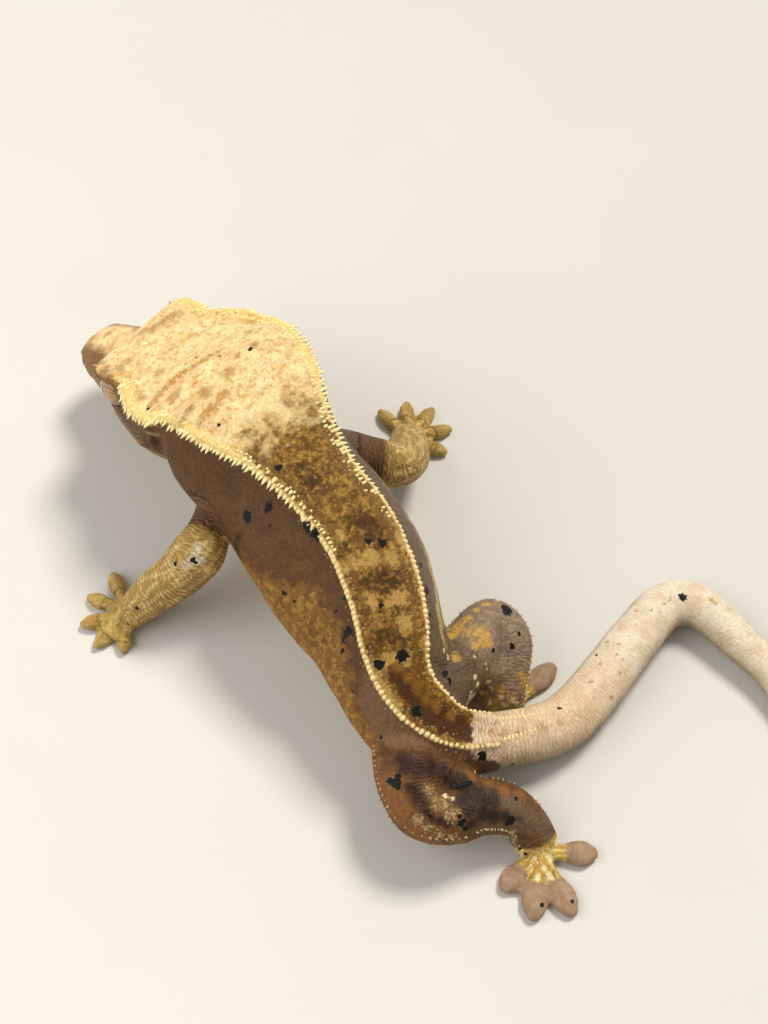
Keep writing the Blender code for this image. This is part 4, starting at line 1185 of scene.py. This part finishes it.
def skin_finish():
    """Granular scales: dry, faintly glossy beads that let a little light in at thin places, with painted
    shade at each granule's edge and painted light and shade along the wrinkle rows.
    """
    finish, tree, shader = new_finish("granular_skin", {
        "Roughness": 0.55, "Specular IOR Level": 0.22, "Subsurface Weight": 0.12,
        "Subsurface Radius": (1.0, 0.45, 0.2), "Subsurface Scale": 0.0006})
    spaces = pattern_spaces(tree)
    colour = marked_colour(tree, spaces)
    # Painted shade: each granule lighter at its middle and darker towards its edge
    shade = add(tree, "MapRange", {"Value": spaces["dome"], 1: 0.15, 2: 0.7, 3: 1.05, 4: 0.86}).outputs[0]
    spread = add(tree, "MapRange", {"Value": spaces["tone"], 3: 0.9, 4: 1.1}).outputs[0]
    value = add(tree, "Math", {0: shade, 1: spread}, operation="MULTIPLY").outputs[0]
    calm = add(tree, "Attribute", attribute_name="calm").outputs["Fac"]
    rough_share = add(tree, "MapRange", {"Value": calm, 3: 1.0, 4: 0.25}).outputs[0]
    value = add(tree, "Mix", {0: rough_share, 2: 1.0, 3: value}).outputs[0]
    rows = wrinkles(tree, spaces)
    # Painted light and shade along the wrinkle rows: ridges lighter, troughs darker
    wrinkle_shading = add(tree, "Math", {0: rows, 1: 0.12, 2: 1.0}, operation="MULTIPLY_ADD").outputs[0]
    value = add(tree, "Math", {0: value, 1: wrinkle_shading}, operation="MULTIPLY").outputs[0]
    colour = add(tree, "HueSaturation", {"Color": colour, "Value": value}).outputs[0]
    colour = field_layer(tree, BLACK_NUMBER, spaces, colour, BLACK_LAYER)
    tree.links.new(colour, shader.inputs["Base Color"])
    dome = add(tree, "MapRange", {"Value": spaces["dome"], 1: 0.0, 2: 0.8, 3: 1.0, 4: 0.0}).outputs[0]
    dome = add(tree, "Math", {0: dome, 1: rough_share}, operation="MULTIPLY").outputs[0]
    height = add(tree, "Math", {0: rows, 1: 0.8, 2: dome}, operation="MULTIPLY_ADD").outputs[0]
    bump = add(tree, "Bump", {"Height": height, "Distance": 0.00008, "Strength": 0.8})
    tree.links.new(bump.outputs[0], shader.inputs["Normal"])
    return finish


def scale_finish(name, root, tip):
    """Horn: smooth and waxy scales, golden at the root, pale at the tip and black where a spot crosses."""
    finish, tree, shader = new_finish(name, {
        "Roughness": 0.42, "Specular IOR Level": 0.3, "Subsurface Weight": 0.2,
        "Subsurface Radius": (1.0, 0.6, 0.3), "Subsurface Scale": 0.0005})
    spaces = pattern_spaces(tree)
    rise = add(tree, "Attribute", attribute_name="tip").outputs["Fac"]
    mottle = add(tree, "TexNoise", {"Vector": spaces["even"], "Scale": 0.8, "Detail": 2.0}).outputs[0]
    share = add(tree, "Math", {0: mottle, 1: 0.9, 2: rise}, operation="MULTIPLY_ADD").outputs[0]
    share = add(tree, "MapRange", {"Value": share, 1: 0.3, 2: 0.9}).outputs[0]
    colour = add(tree, "Mix", {0: share, 6: linear(root), 7: linear(tip)}, data_type="RGBA").outputs[2]
    colour = field_layer(tree, BLACK_NUMBER, spaces, colour, BLACK_LAYER)
    tree.links.new(colour, shader.inputs["Base Color"])
    return finish


def marked_scale_finish(name, root, tip):
    """Horn in thin scales that keep the colour of the skin under them and turn paler to the tip."""
    finish, tree, shader = new_finish(name, {"Roughness": 0.45, "Specular IOR Level": 0.3})
    spaces = pattern_spaces(tree)
    colour = marked_colour(tree, spaces)
    rise = add(tree, "Attribute", attribute_name="tip").outputs["Fac"]
    share = add(tree, "MapRange", {"Value": rise, 3: root, 4: tip}).outputs[0]
    colour = add(tree, "Mix", {0: share, 6: colour, 7: linear("F4DC9C")}, data_type="RGBA").outputs[2]
    colour = field_layer(tree, BLACK_NUMBER, spaces, colour, BLACK_LAYER)
    tree.links.new(colour, shader.inputs["Base Color"])
    return finish


def claw_finish():
    """Keratin: smooth brown claws with a faint grain."""
    finish, tree, shader = new_finish("claw_keratin", {"Roughness": 0.28})
    place = add(tree, "TexCoord").outputs["Object"]
    grain = add(tree, "TexNoise", {"Vector": place, "Scale": 1000.0 / CLAW_GRAIN, "Detail": 3.0}).outputs[0]
    colour = add(tree, "Mix", {0: grain, 6: linear("5A4632"), 7: linear("A08866")},
                 data_type="RGBA").outputs[2]
    tree.links.new(colour, shader.inputs["Base Color"])
    return finish


def eye_finish():
    """A wet spectacle over a copper iris with dark veins and an upright slit pupil."""
    finish, tree, shader = new_finish("eye_spectacle", {
        "Roughness": 0.25, "Coat Weight": 1.0, "Coat Roughness": 0.03})
    gaze = add(tree, "Attribute", attribute_name="gaze").outputs["Vector"]
    parts = add(tree, "SeparateXYZ", {0: gaze})
    across, up = parts.outputs[0], parts.outputs[1]
    turn = add(tree, "Math", {0: up, 1: across}, operation="ARCTAN2").outputs[0]
    flat = add(tree, "CombineXYZ", {0: across, 1: up, 2: 0.0}).outputs[0]
    radius = add(tree, "VectorMath", {0: flat}, operation="LENGTH").outputs["Value"]
    spokes = add(tree, "CombineXYZ", {0: turn, 1: radius, 2: 0.0}).outputs[0]
    stretched = add(tree, "VectorMath", {0: spokes, 1: (3.0, 0.7, 1.0)}, operation="MULTIPLY").outputs[0]
    veins = add(tree, "TexNoise", {"Vector": stretched, "Scale": 3.2, "Detail": 6.0,
                                   "Distortion": 0.6}).outputs[0]
    mask = add(tree, "MapRange", {"Value": veins, 1: 0.42, 2: 0.62}).outputs[0]
    iris = add(tree, "Mix", {0: mask, 6: linear("C79A5C"), 7: linear("6E4321")}, data_type="RGBA").outputs[2]
    rim = add(tree, "MapRange", {"Value": radius, 1: 2.1, 2: 3.0, 3: 0.0, 4: 1.0}).outputs[0]
    iris = add(tree, "Mix", {0: rim, 6: iris, 7: linear("2E1E14")}, data_type="RGBA").outputs[2]
    scallop = add(tree, "Math", {0: up, 1: 5.2}, operation="MULTIPLY").outputs[0]
    scallop = add(tree, "Math", {0: scallop}, operation="COSINE").outputs[0]
    taper = add(tree, "Math", {0: up, 1: up}, operation="MULTIPLY").outputs[0]
    taper = add(tree, "MapRange", {"Value": taper, 1: 0.0, 2: 5.2, 3: 0.42, 4: -0.12}).outputs[0]
    edge = add(tree, "Math", {0: scallop, 1: 0.07, 2: taper}, operation="MULTIPLY_ADD").outputs[0]
    side = add(tree, "Math", {0: across}, operation="ABSOLUTE").outputs[0]
    slit = add(tree, "Math", {0: edge, 1: side}, operation="SUBTRACT").outputs[0]
    slit = add(tree, "MapRange", {"Value": slit, 1: -0.05, 2: 0.05}).outputs[0]
    colour = add(tree, "Mix", {0: slit, 6: iris, 7: linear("080605")}, data_type="RGBA").outputs[2]
    tree.links.new(colour, shader.inputs["Base Color"])
    return finish


# Pieces that grow from the skin

# Values that each root carries until its scale stands
ROOT_VALUES = ("way", "lean", "size", "root_map", "patch")


def tooth_shape(tree, given):
    """Nodes for one scale, a cone of unit size: its roundness swells it and its hook bends it."""
    cone = add(tree, "GeometryNodeMeshCone", {
        "Vertices": given["Sides"], "Side Segments": 4, "Radius Top": 0.0, "Radius Bottom": 1.0, "Depth": 1.0,
    }, fill_type="TRIANGLE_FAN")
    place = add(tree, "GeometryNodeInputPosition").outputs[0]
    parts = add(tree, "SeparateXYZ", {0: place}).outputs
    left = add(tree, "Math", {0: 1.0, 1: parts[2]}, operation="SUBTRACT").outputs[0]
    left = add(tree, "Math", {0: left, 1: 0.001}, operation="MAXIMUM").outputs[0]
    power = add(tree, "Math", {0: given["Roundness"], 1: -1.0}, operation="MULTIPLY").outputs[0]
    swell = add(tree, "Math", {0: left, 1: power}, operation="POWER").outputs[0]
    wide = add(tree, "CombineXYZ", {0: swell, 1: swell, 2: 1.0}).outputs[0]
    shaped = add(tree, "VectorMath", {0: place, 1: wide}, operation="MULTIPLY").outputs[0]
    rise = add(tree, "Math", {0: parts[2], 1: 2.0}, operation="POWER").outputs[0]
    hooked = add(tree, "Math", {0: rise, 1: given["Hook"]}, operation="MULTIPLY").outputs[0]
    hooked = add(tree, "CombineXYZ", {0: hooked}).outputs[0]
    shaped = add(tree, "VectorMath", {0: shaped, 1: hooked}, operation="ADD").outputs[0]
    tip = {0: cone.outputs["Mesh"], "Name": "tip", "Value": parts[2]}
    tooth = add(tree, "GeometryNodeStoreNamedAttribute", tip, data_type="FLOAT", domain="POINT").outputs[0]
    patch = {0: cone.outputs["UV Map"], "Scale": given["Patch"]}
    patch = add(tree, "VectorMath", patch, operation="SCALE").outputs[0]
    tooth = add(tree, "GeometryNodeStoreNamedAttribute", {0: tooth, "Name": "patch", "Value": patch},
                data_type="FLOAT_VECTOR", domain="CORNER").outputs[0]
    return add(tree, "GeometryNodeSetPosition", {0: tooth, "Position": shaped}).outputs[0]


def scale_tree():
    """Geometry Nodes that stand one tapered scale on every root, with a map patch at the root's place."""
    tree = bpy.data.node_groups.new("standing_scales", "GeometryNodeTree")
    face = tree.interface
    face.new_socket("Roots", in_out="INPUT", socket_type="NodeSocketGeometry")
    for name, kind in (("Sides", "Int"), ("Roundness", "Float"), ("Hook", "Float"), ("Variation", "Float"),
                       ("Seed", "Int"), ("Patch", "Float"), ("Finish", "Material")):
        face.new_socket(name, in_out="INPUT", socket_type="NodeSocket" + kind)
    face.new_socket("Scales", in_out="OUTPUT", socket_type="NodeSocketGeometry")
    given = add(tree, "NodeGroupInput").outputs
    tooth = tooth_shape(tree, given)
    way, lean, size, root, patch = (
        add(tree, "GeometryNodeInputNamedAttribute", {"Name": name}, data_type="FLOAT_VECTOR").outputs[0]
        for name in ROOT_VALUES)
    turned = add(tree, "FunctionNodeAlignRotationToVector", {"Vector": way}, axis="Z").outputs[0]
    turned = add(tree, "FunctionNodeAlignRotationToVector", {"Rotation": turned, "Vector": lean},
                 axis="X", pivot_axis="Z").outputs[0]
    low = add(tree, "Math", {0: 1.0, 1: given["Variation"]}, operation="SUBTRACT").outputs[0]
    high = add(tree, "Math", {0: 1.0, 1: given["Variation"]}, operation="ADD").outputs[0]
    chance = add(tree, "FunctionNodeRandomValue", {2: low, 3: high, "Seed": given["Seed"]},
                 data_type="FLOAT").outputs[1]
    varied = add(tree, "VectorMath", {0: size, "Scale": chance}, operation="SCALE").outputs[0]
    stood = add(tree, "GeometryNodeInstanceOnPoints", {
        0: given["Roots"], "Instance": tooth, "Rotation": turned, "Scale": varied}).outputs[0]
    real = add(tree, "GeometryNodeRealizeInstances", {0: stood}).outputs[0]
    spot = add(tree, "VectorMath", {0: root, 1: patch}, operation="ADD").outputs[0]
    real = add(tree, "GeometryNodeStoreNamedAttribute", {0: real, "Name": "OFBake", "Value": spot},
               data_type="FLOAT2", domain="CORNER").outputs[0]
    for name in ROOT_VALUES:
        real = add(tree, "GeometryNodeRemoveAttribute", {0: real, "Name": name}).outputs[0]
    real = add(tree, "GeometryNodeSetShadeSmooth", {0: real}).outputs[0]
    real = add(tree, "GeometryNodeSetMaterial", {0: real, "Material": given["Finish"]}).outputs[0]
    add(tree, "NodeGroupOutput", {0: real})
    return tree


def grow(name, rows, tree, skin_tree, spots, finish, **values):
    """A piece of scales from rows of root, way, lean, width, thickness and length."""
    roots = np.array([row[0] for row in rows])
    ways = np.array([row[1] for row in rows])
    mesh = bpy.data.meshes.new(name)
    mesh.from_pydata([mm(*root) for root in roots], [], [])
    fields = skin_fields(roots, ways, skin_tree, spots)
    place = [start + fields[key] * step for key, start, step in zip(("map_u", "map_v"), MAP_START, MAP_STEP)]
    store_fields(mesh, fields)
    store_fields(mesh, {"way": ways, "lean": np.array([row[2] for row in rows]),
                        "size": np.array([row[3:6] for row in rows]) * 0.001,
                        "root_map": np.stack([*place, np.zeros(len(roots))], axis=1)})
    piece = new_thing(name, mesh)
    step = piece.modifiers.new("scales", "NODES")
    step.node_group = tree
    values["Finish"] = finish
    for item in tree.interface.items_tree:
        if item.in_out == "INPUT" and item.name in values:
            step[item.identifier] = values[item.name]
    return settle(piece)


DOWN = np.array((0.0, 0.0, -1.0))


def along_crest(sign, pitch, start, chance):
    """Rows of the crest's path at a pitch, each value a little astray: point, outward way, scale length."""
    path = crest_rows(sign, 6)
    reach = reach_at(path[:, :3], np.arange(len(path)))
    for spot in np.arange(start, reach[-1], pitch):
        yield np.array([np.interp(spot + chance.normal(0, 0.1 * pitch), reach, column) for column in path.T])


def tooth_roots(skin_tree):
    """Roots of the pointed crest scales, head to shoulders, with two low rows that lap behind them."""
    chance = np.random.default_rng(SEED)
    rows = []
    for sign, start in ((1, 2.6), (-1, 0.5)):
        for inset, share in TOOTH_ROWS:
            for row in along_crest(sign, TOOTH_PITCH, start + 0.8 * inset, chance):
                way = unit(row[3:6])
                toothed = min(1.0, max(0.0, (row[6] - 0.72) / 0.3))
                if toothed < 0.15 or chance.uniform() < 0.4 * inset:
                    continue
                inward = np.array((-way[0], -way[1], 0.1))
                root, normal = on_skin(skin_tree, row[:3] + inward * inset)
                lean = way + np.array((0.0, 0.0, -0.1)) + (0.15 + 0.9 * inset) * normal
                lean = unit(lean) + chance.normal(0, 0.13, 3)
                size = chance.choice(TOOTH_SIZES)
                tall = (0.75 * toothed + 0.2) * share * size + 0.4
                wide = (0.34 + 0.05 * toothed) * (1 - 0.2 * inset) * (0.7 + 0.3 * size)
                rows.append((root - lean * 0.38, lean, DOWN, 0.8 * wide, wide, tall))
    places = np.array([row[0] for row in rows])
    gaps = np.minimum(np.abs(crest_side(places, 1)), np.abs(crest_side(places, -1)))
    return [row for row, gap in zip(rows, gaps) if gap < 1.6]


def tail_root_rows(sign):
    """Where each crest runs out along the root of the tail: point, outward way and how much is left of it."""
    made = smooth_rows(TAIL[1:4], 6)
    for row, way, left in zip(made, directions(made[:, :3]), np.linspace(1.0, 0.4, len(made))):
        side = sign * np.array((way[1], -way[0], 0.0))
        yield row[:3] + np.array((0.0, 0.0, 0.9 * row[4])) + side * 0.42 * row[3] * left, side, left


def pearl_roots(skin_tree):
    """Roots of the rounded crest scales: one row a side from the shoulders on to the root of the tail."""
    chance = np.random.default_rng(SEED + 2)
    rows = []
    for sign in (1, -1):
        for row in along_crest(sign, PEARL_PITCH, 1.0, chance):
            if row[6] > 1.05:
                continue
            way = unit(row[3:6])
            root, normal = on_skin(skin_tree, row[:3])
            size = chance.uniform(0.75, 1.15) * (0.46 if row[6] < 0.8 else 0.4)
            lean = 0.85 * normal + 0.45 * way + chance.normal(0, 0.14, 3)
            rows.append((root - normal * 0.16, lean, way, 1.15 * size, size, 0.3 + 0.45 * size))
        for place, way, left in tail_root_rows(sign):
            root, normal = on_skin(skin_tree, place)
            rows.append((root - normal * 0.16, normal, way, 0.62 * left, 0.36 * left, 0.2 + 0.18 * left))
    return rows


def granule_roots(skin_tree):
    """Roots of the enlarged granules: loose ones beside the crest rows, and patches on the left thigh."""
    chance = np.random.default_rng(SEED + 3)
    rows = []
    for sign in (1, -1):
        for inset, share in GRANULE_ROWS:
            for row in along_crest(sign, GRANULE_PITCH, 1.0 + inset, chance):
                if chance.uniform() > share:
                    continue
                way = unit(row[3:6])
                inward = np.array((-way[0], -way[1], 0.0))
                place = row[:3] + inward * (inset + chance.normal(0, 0.25))
                root, normal = on_skin(skin_tree, place - np.array((0, 0, 0.8)) * (inset < 0))
                size = chance.uniform(0.18, 0.3)
                rows.append((root - normal * 0.12, normal, way, size, size, 0.19))
    for across, down, radius in PATCHES["scaly_patches"]:
        for turn, far in zip(chance.uniform(0, 2 * math.pi, 14), chance.uniform(0, 7.5 * radius, 14)):
            spot = seen_at(skin_tree, across + far * math.cos(turn), down + far * math.sin(turn))
            normal = on_skin(skin_tree, spot)[1]
            rows.append((spot - normal * 0.12, normal, np.array((1.0, 0.2, 0.0)), 0.24, 0.15, 0.24))
    return rows


def fringe_roots(skin_tree):
    """Roots of the small pointed scales along the edges of the hind legs."""
    chance = np.random.default_rng(SEED + 4)
    rows = []
    for leg, side, start, end in FRINGES:
        path = smooth_rows(LEGS[leg], 8)
        ways = directions(path[:, :3])
        reach = reach_at(path[:, :3], np.arange(len(path)))
        for spot in np.arange(reach[int(8 * start)], reach[int(8 * end)], FRINGE_PITCH):
            for lift in (-0.1, 0.35):
                row = np.interp(spot + chance.normal(0, 0.06) + 0.3 * (lift > 0), reach, np.arange(len(path)))
                k = int(row)
                middle = path[k, :3] + (row - k) * (path[min(k + 1, len(path) - 1), :3] - path[k, :3])
                out = unit(side * np.cross((0.0, 0.0, 1.0), ways[k])) + np.array((0, 0, lift))
                root = hit(skin_tree, middle, out)
                if root is None or np.linalg.norm(root - middle) > 1.5 * path[k, 3]:
                    continue
                size = chance.uniform(0.8, 1.15)
                lean = unit(out + 0.4 * ways[k] + chance.normal(0, 0.08, 3))
                rows.append((root - lean * 0.25, lean, DOWN, 0.2 * size, 0.26 * size, 0.6 * size))
    return rows


def lip_roots(skin_tree):
    """Roots of the larger flat scales along both lips."""
    chance = np.random.default_rng(SEED + 5)
    path = mouth_path(skin_tree)
    reach = reach_at(path, np.arange(len(path)))
    up = head_way(0, 0, 1)
    rows = []
    for drop, tall in LIP_ROWS:
        for spot in np.arange(0.4, reach[-1] - 0.3, LIP_PITCH):
            place = read_at(path, reach, spot) + up * drop
            ahead = read_at(path, reach, spot + 0.3) + up * drop - place
            root, normal = on_skin(skin_tree, place)
            wide = 0.47 * chance.uniform(0.9, 1.05)
            rows.append((root - normal * 0.14, normal, ahead, wide, tall * chance.uniform(0.92, 1.05), 0.24))
    return rows


def lash_roots():
    """Roots of the pointed brow scales over each eye and of the small ones round the rest of its rim."""
    rows = []
    chance = np.random.default_rng(SEED + 1)
    up = head_way(0, 0, 1)
    for middle, way in eye_places().values():
        lift = unit(up - way * (up @ way))
        ahead = np.cross(lift, way)
        ahead *= math.copysign(1.0, ahead @ head_way(1, 0, 0))
        for turn in range(-180, 180, 8):
            brow = max(0.0, math.cos(math.radians(0.9 * (turn - 30)))) if abs(turn - 30) < 100 else 0.0
            length = 0.25 + 0.85 * brow + chance.normal(0, 0.05)
            out = lift * math.cos(math.radians(turn)) + ahead * math.sin(math.radians(turn))
            lean = 0.7 * way + 0.7 * out + chance.normal(0, 0.06, 3)
            wide = 0.2 + 0.06 * brow
            rows.append((middle + 1.85 * way + 3.6 * out, lean, -up, wide, wide, length + 0.4))
    return rows


def claw_roots():
    """Roots of the short hooked claws, one at the end of each toe."""
    rows = []
    for middle, _, toes in FEET.values():
        for heading, reach in toes:
            way = toe_way(heading)
            root = np.array((*middle, TOE_HEIGHT)) + way * reach * 0.96
            rows.append((root, way, DOWN, 0.26, 0.26, 0.75))
    return rows


def build_eye(name, middle, way, finish):
    """A whole ball with its gaze stored on it, in millimetres along the head, up and outward."""
    form = bmesh.new()
    bmesh.ops.create_uvsphere(form, u_segments=96, v_segments=64, radius=EYE_RADIUS)
    bmesh.ops.transform(form, matrix=facing(middle, way), verts=form.verts)
    mesh = mesh_of(form, name)
    gap = spots_of(mesh)[0] - middle
    way = unit(way)
    up = unit(head_way(0, 0, 1) - way * (head_way(0, 0, 1) @ way))
    store_fields(mesh, {"gaze": np.stack([gap @ np.cross(up, way), gap @ up, gap @ way], axis=1)})
    mesh.materials.append(finish)
    mesh.shade_smooth()
    return new_thing(name, mesh)


# Studio

def build_floor():
    """A pale matt floor far wider than the view."""
    form = bmesh.new()
    bmesh.ops.create_circle(form, cap_ends=True, segments=64, radius=1.6)
    mesh = mesh_of(form, "floor")
    finish, tree, shader = new_finish("floor_paper", {"Roughness": 0.9})
    place = add(tree, "TexCoord").outputs["Object"]
    grain = add(tree, "TexNoise", {"Vector": place, "Scale": 1000.0 / PAPER_GRAIN}).outputs[0]
    colour = add(tree, "Mix", {0: grain, 6: linear("D9D6CF"), 7: linear("DEDBD5")},
                 data_type="RGBA").outputs[2]
    tree.links.new(colour, shader.inputs["Base Color"])
    mesh.materials.append(finish)
    floor = new_thing("floor", mesh)


def aimed(name, data, place, way):
    """A light or a camera at a place, looking along a direction."""
    thing = new_thing(name, data)
    thing.location = place
    thing.rotation_mode = "QUATERNION"
    thing.rotation_quaternion = way.to_track_quat("-Z", "Y")
    return thing


def add_light(name, kind, place, target, power, **settings):
    """A soft light aimed at a point."""
    data = bpy.data.lights.new(name, kind)
    data.energy = power
    for key, value in settings.items():
        setattr(data, key, value)
    aimed(name, data, place, target - place)


def build_studio(shift):
    """Floor, soft light from above the photograph's upper right, and the photograph's camera."""
    build_floor()
    place, right, up, forward = photo_axes()
    target = mm(*LOOK_AT) + shift
    level = unit(np.array((up[0], up[1], 0.0)))
    key = target + mm(*(right * 200 + level * 230 + np.array((0, 0, 420))))
    fill = target + mm(*(-right * 380 - level * 120 + np.array((0, 0, 300))))
    add_light("key", "SUN", key, target, 2.6, angle=math.radians(18), color=(1.0, 0.96, 0.88))
    add_light("fill", "AREA", fill, target, 1.6, size=0.5)
    world = bpy.data.worlds.new("soft_room")
    world.use_nodes = True
    world.node_tree.nodes["Background"].inputs[0].default_value = linear("F4F2EE")
    world.node_tree.nodes["Background"].inputs[1].default_value = 0.35
    bpy.context.scene.world = world
    bpy.context.scene.view_settings.view_transform = "Standard"
    data = bpy.data.cameras.new("camera")
    data.sensor_width = 36.0
    data.lens = VIEW_FOCUS * 36.0 / max(FRAME_SIZE)
    data.clip_start = 0.01
    data.clip_end = 10.0
    bpy.context.scene.camera = aimed("camera", data, mm(*place) + shift, Vector(forward))


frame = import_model()
low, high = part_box("eye_left")
SHIFT = (low + high) / 2 - mm(*eye_places()["eye_left"][0])

skin = fused_skin()
sculpt(skin)
cut_sockets(skin)
trim_floor(skin)
thin_out(skin)
skin_surface = surface_of(skin.data)
places, ways = spots_of(skin.data)
spots = black_spots(places, ways, skin_surface)
store_fields(skin.data, skin_fields(places, ways, skin_surface, spots))
skin.data.materials.clear()
skin.data.materials.append(skin_finish())

scales = scale_tree()
crest_horn = scale_finish("crest_horn", "EDBE66", "FFEBB0")
# The pearls' golden root is partly their own colour and partly painted shade at the base of each bead
pearl_horn = scale_finish("pearl_horn", "C4934A", "F6DA9E")
toned = marked_scale_finish("skin_toned_scales", 0.0, 0.25)
fringe = marked_scale_finish("fringe_horn", 0.15, 0.6)
lip_shield = marked_scale_finish("lip_shields", 0.0, 0.12)
grown = (
    ("crest_teeth", tooth_roots(skin_surface), crest_horn, 7, 0.3, 0.0),
    ("crest_pearls", pearl_roots(skin_surface), pearl_horn, 10, 0.42, 0.0),
    ("crest_granules", granule_roots(skin_surface), toned, 7, 0.5, 0.0),
    ("leg_fringes", fringe_roots(skin_surface), fringe, 6, 0.2, 0.2),
    ("lip_scales", lip_roots(skin_surface), lip_shield, 10, 0.55, 0.0),
    ("brow_lashes", lash_roots(), toned, 7, 0.15, 0.3),
    ("claws", claw_roots(), claw_finish(), 8, 0.2, 0.9),
)
pieces = [skin]
for number, (name, roots, finish, sides, roundness, hook) in enumerate(grown):
    pieces.append(grow(name, roots, scales, skin_surface, spots, finish,
                       Sides=sides, Roundness=roundness, Hook=hook, Variation=0.08, Seed=number,
                       Patch=MAP_PATCH))

spectacle = eye_finish()
for name, (middle, way) in eye_places().items():
    eye = build_eye("ball_" + name, middle, way, spectacle)
    pieces.append(eye)
    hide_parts(name)

for piece in pieces:
    piece.data.transform(Matrix.Translation(SHIFT))
    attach(piece, "root")
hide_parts(*[name for name in frame["nodes"] if not name.startswith("eye")])
build_studio(SHIFT)
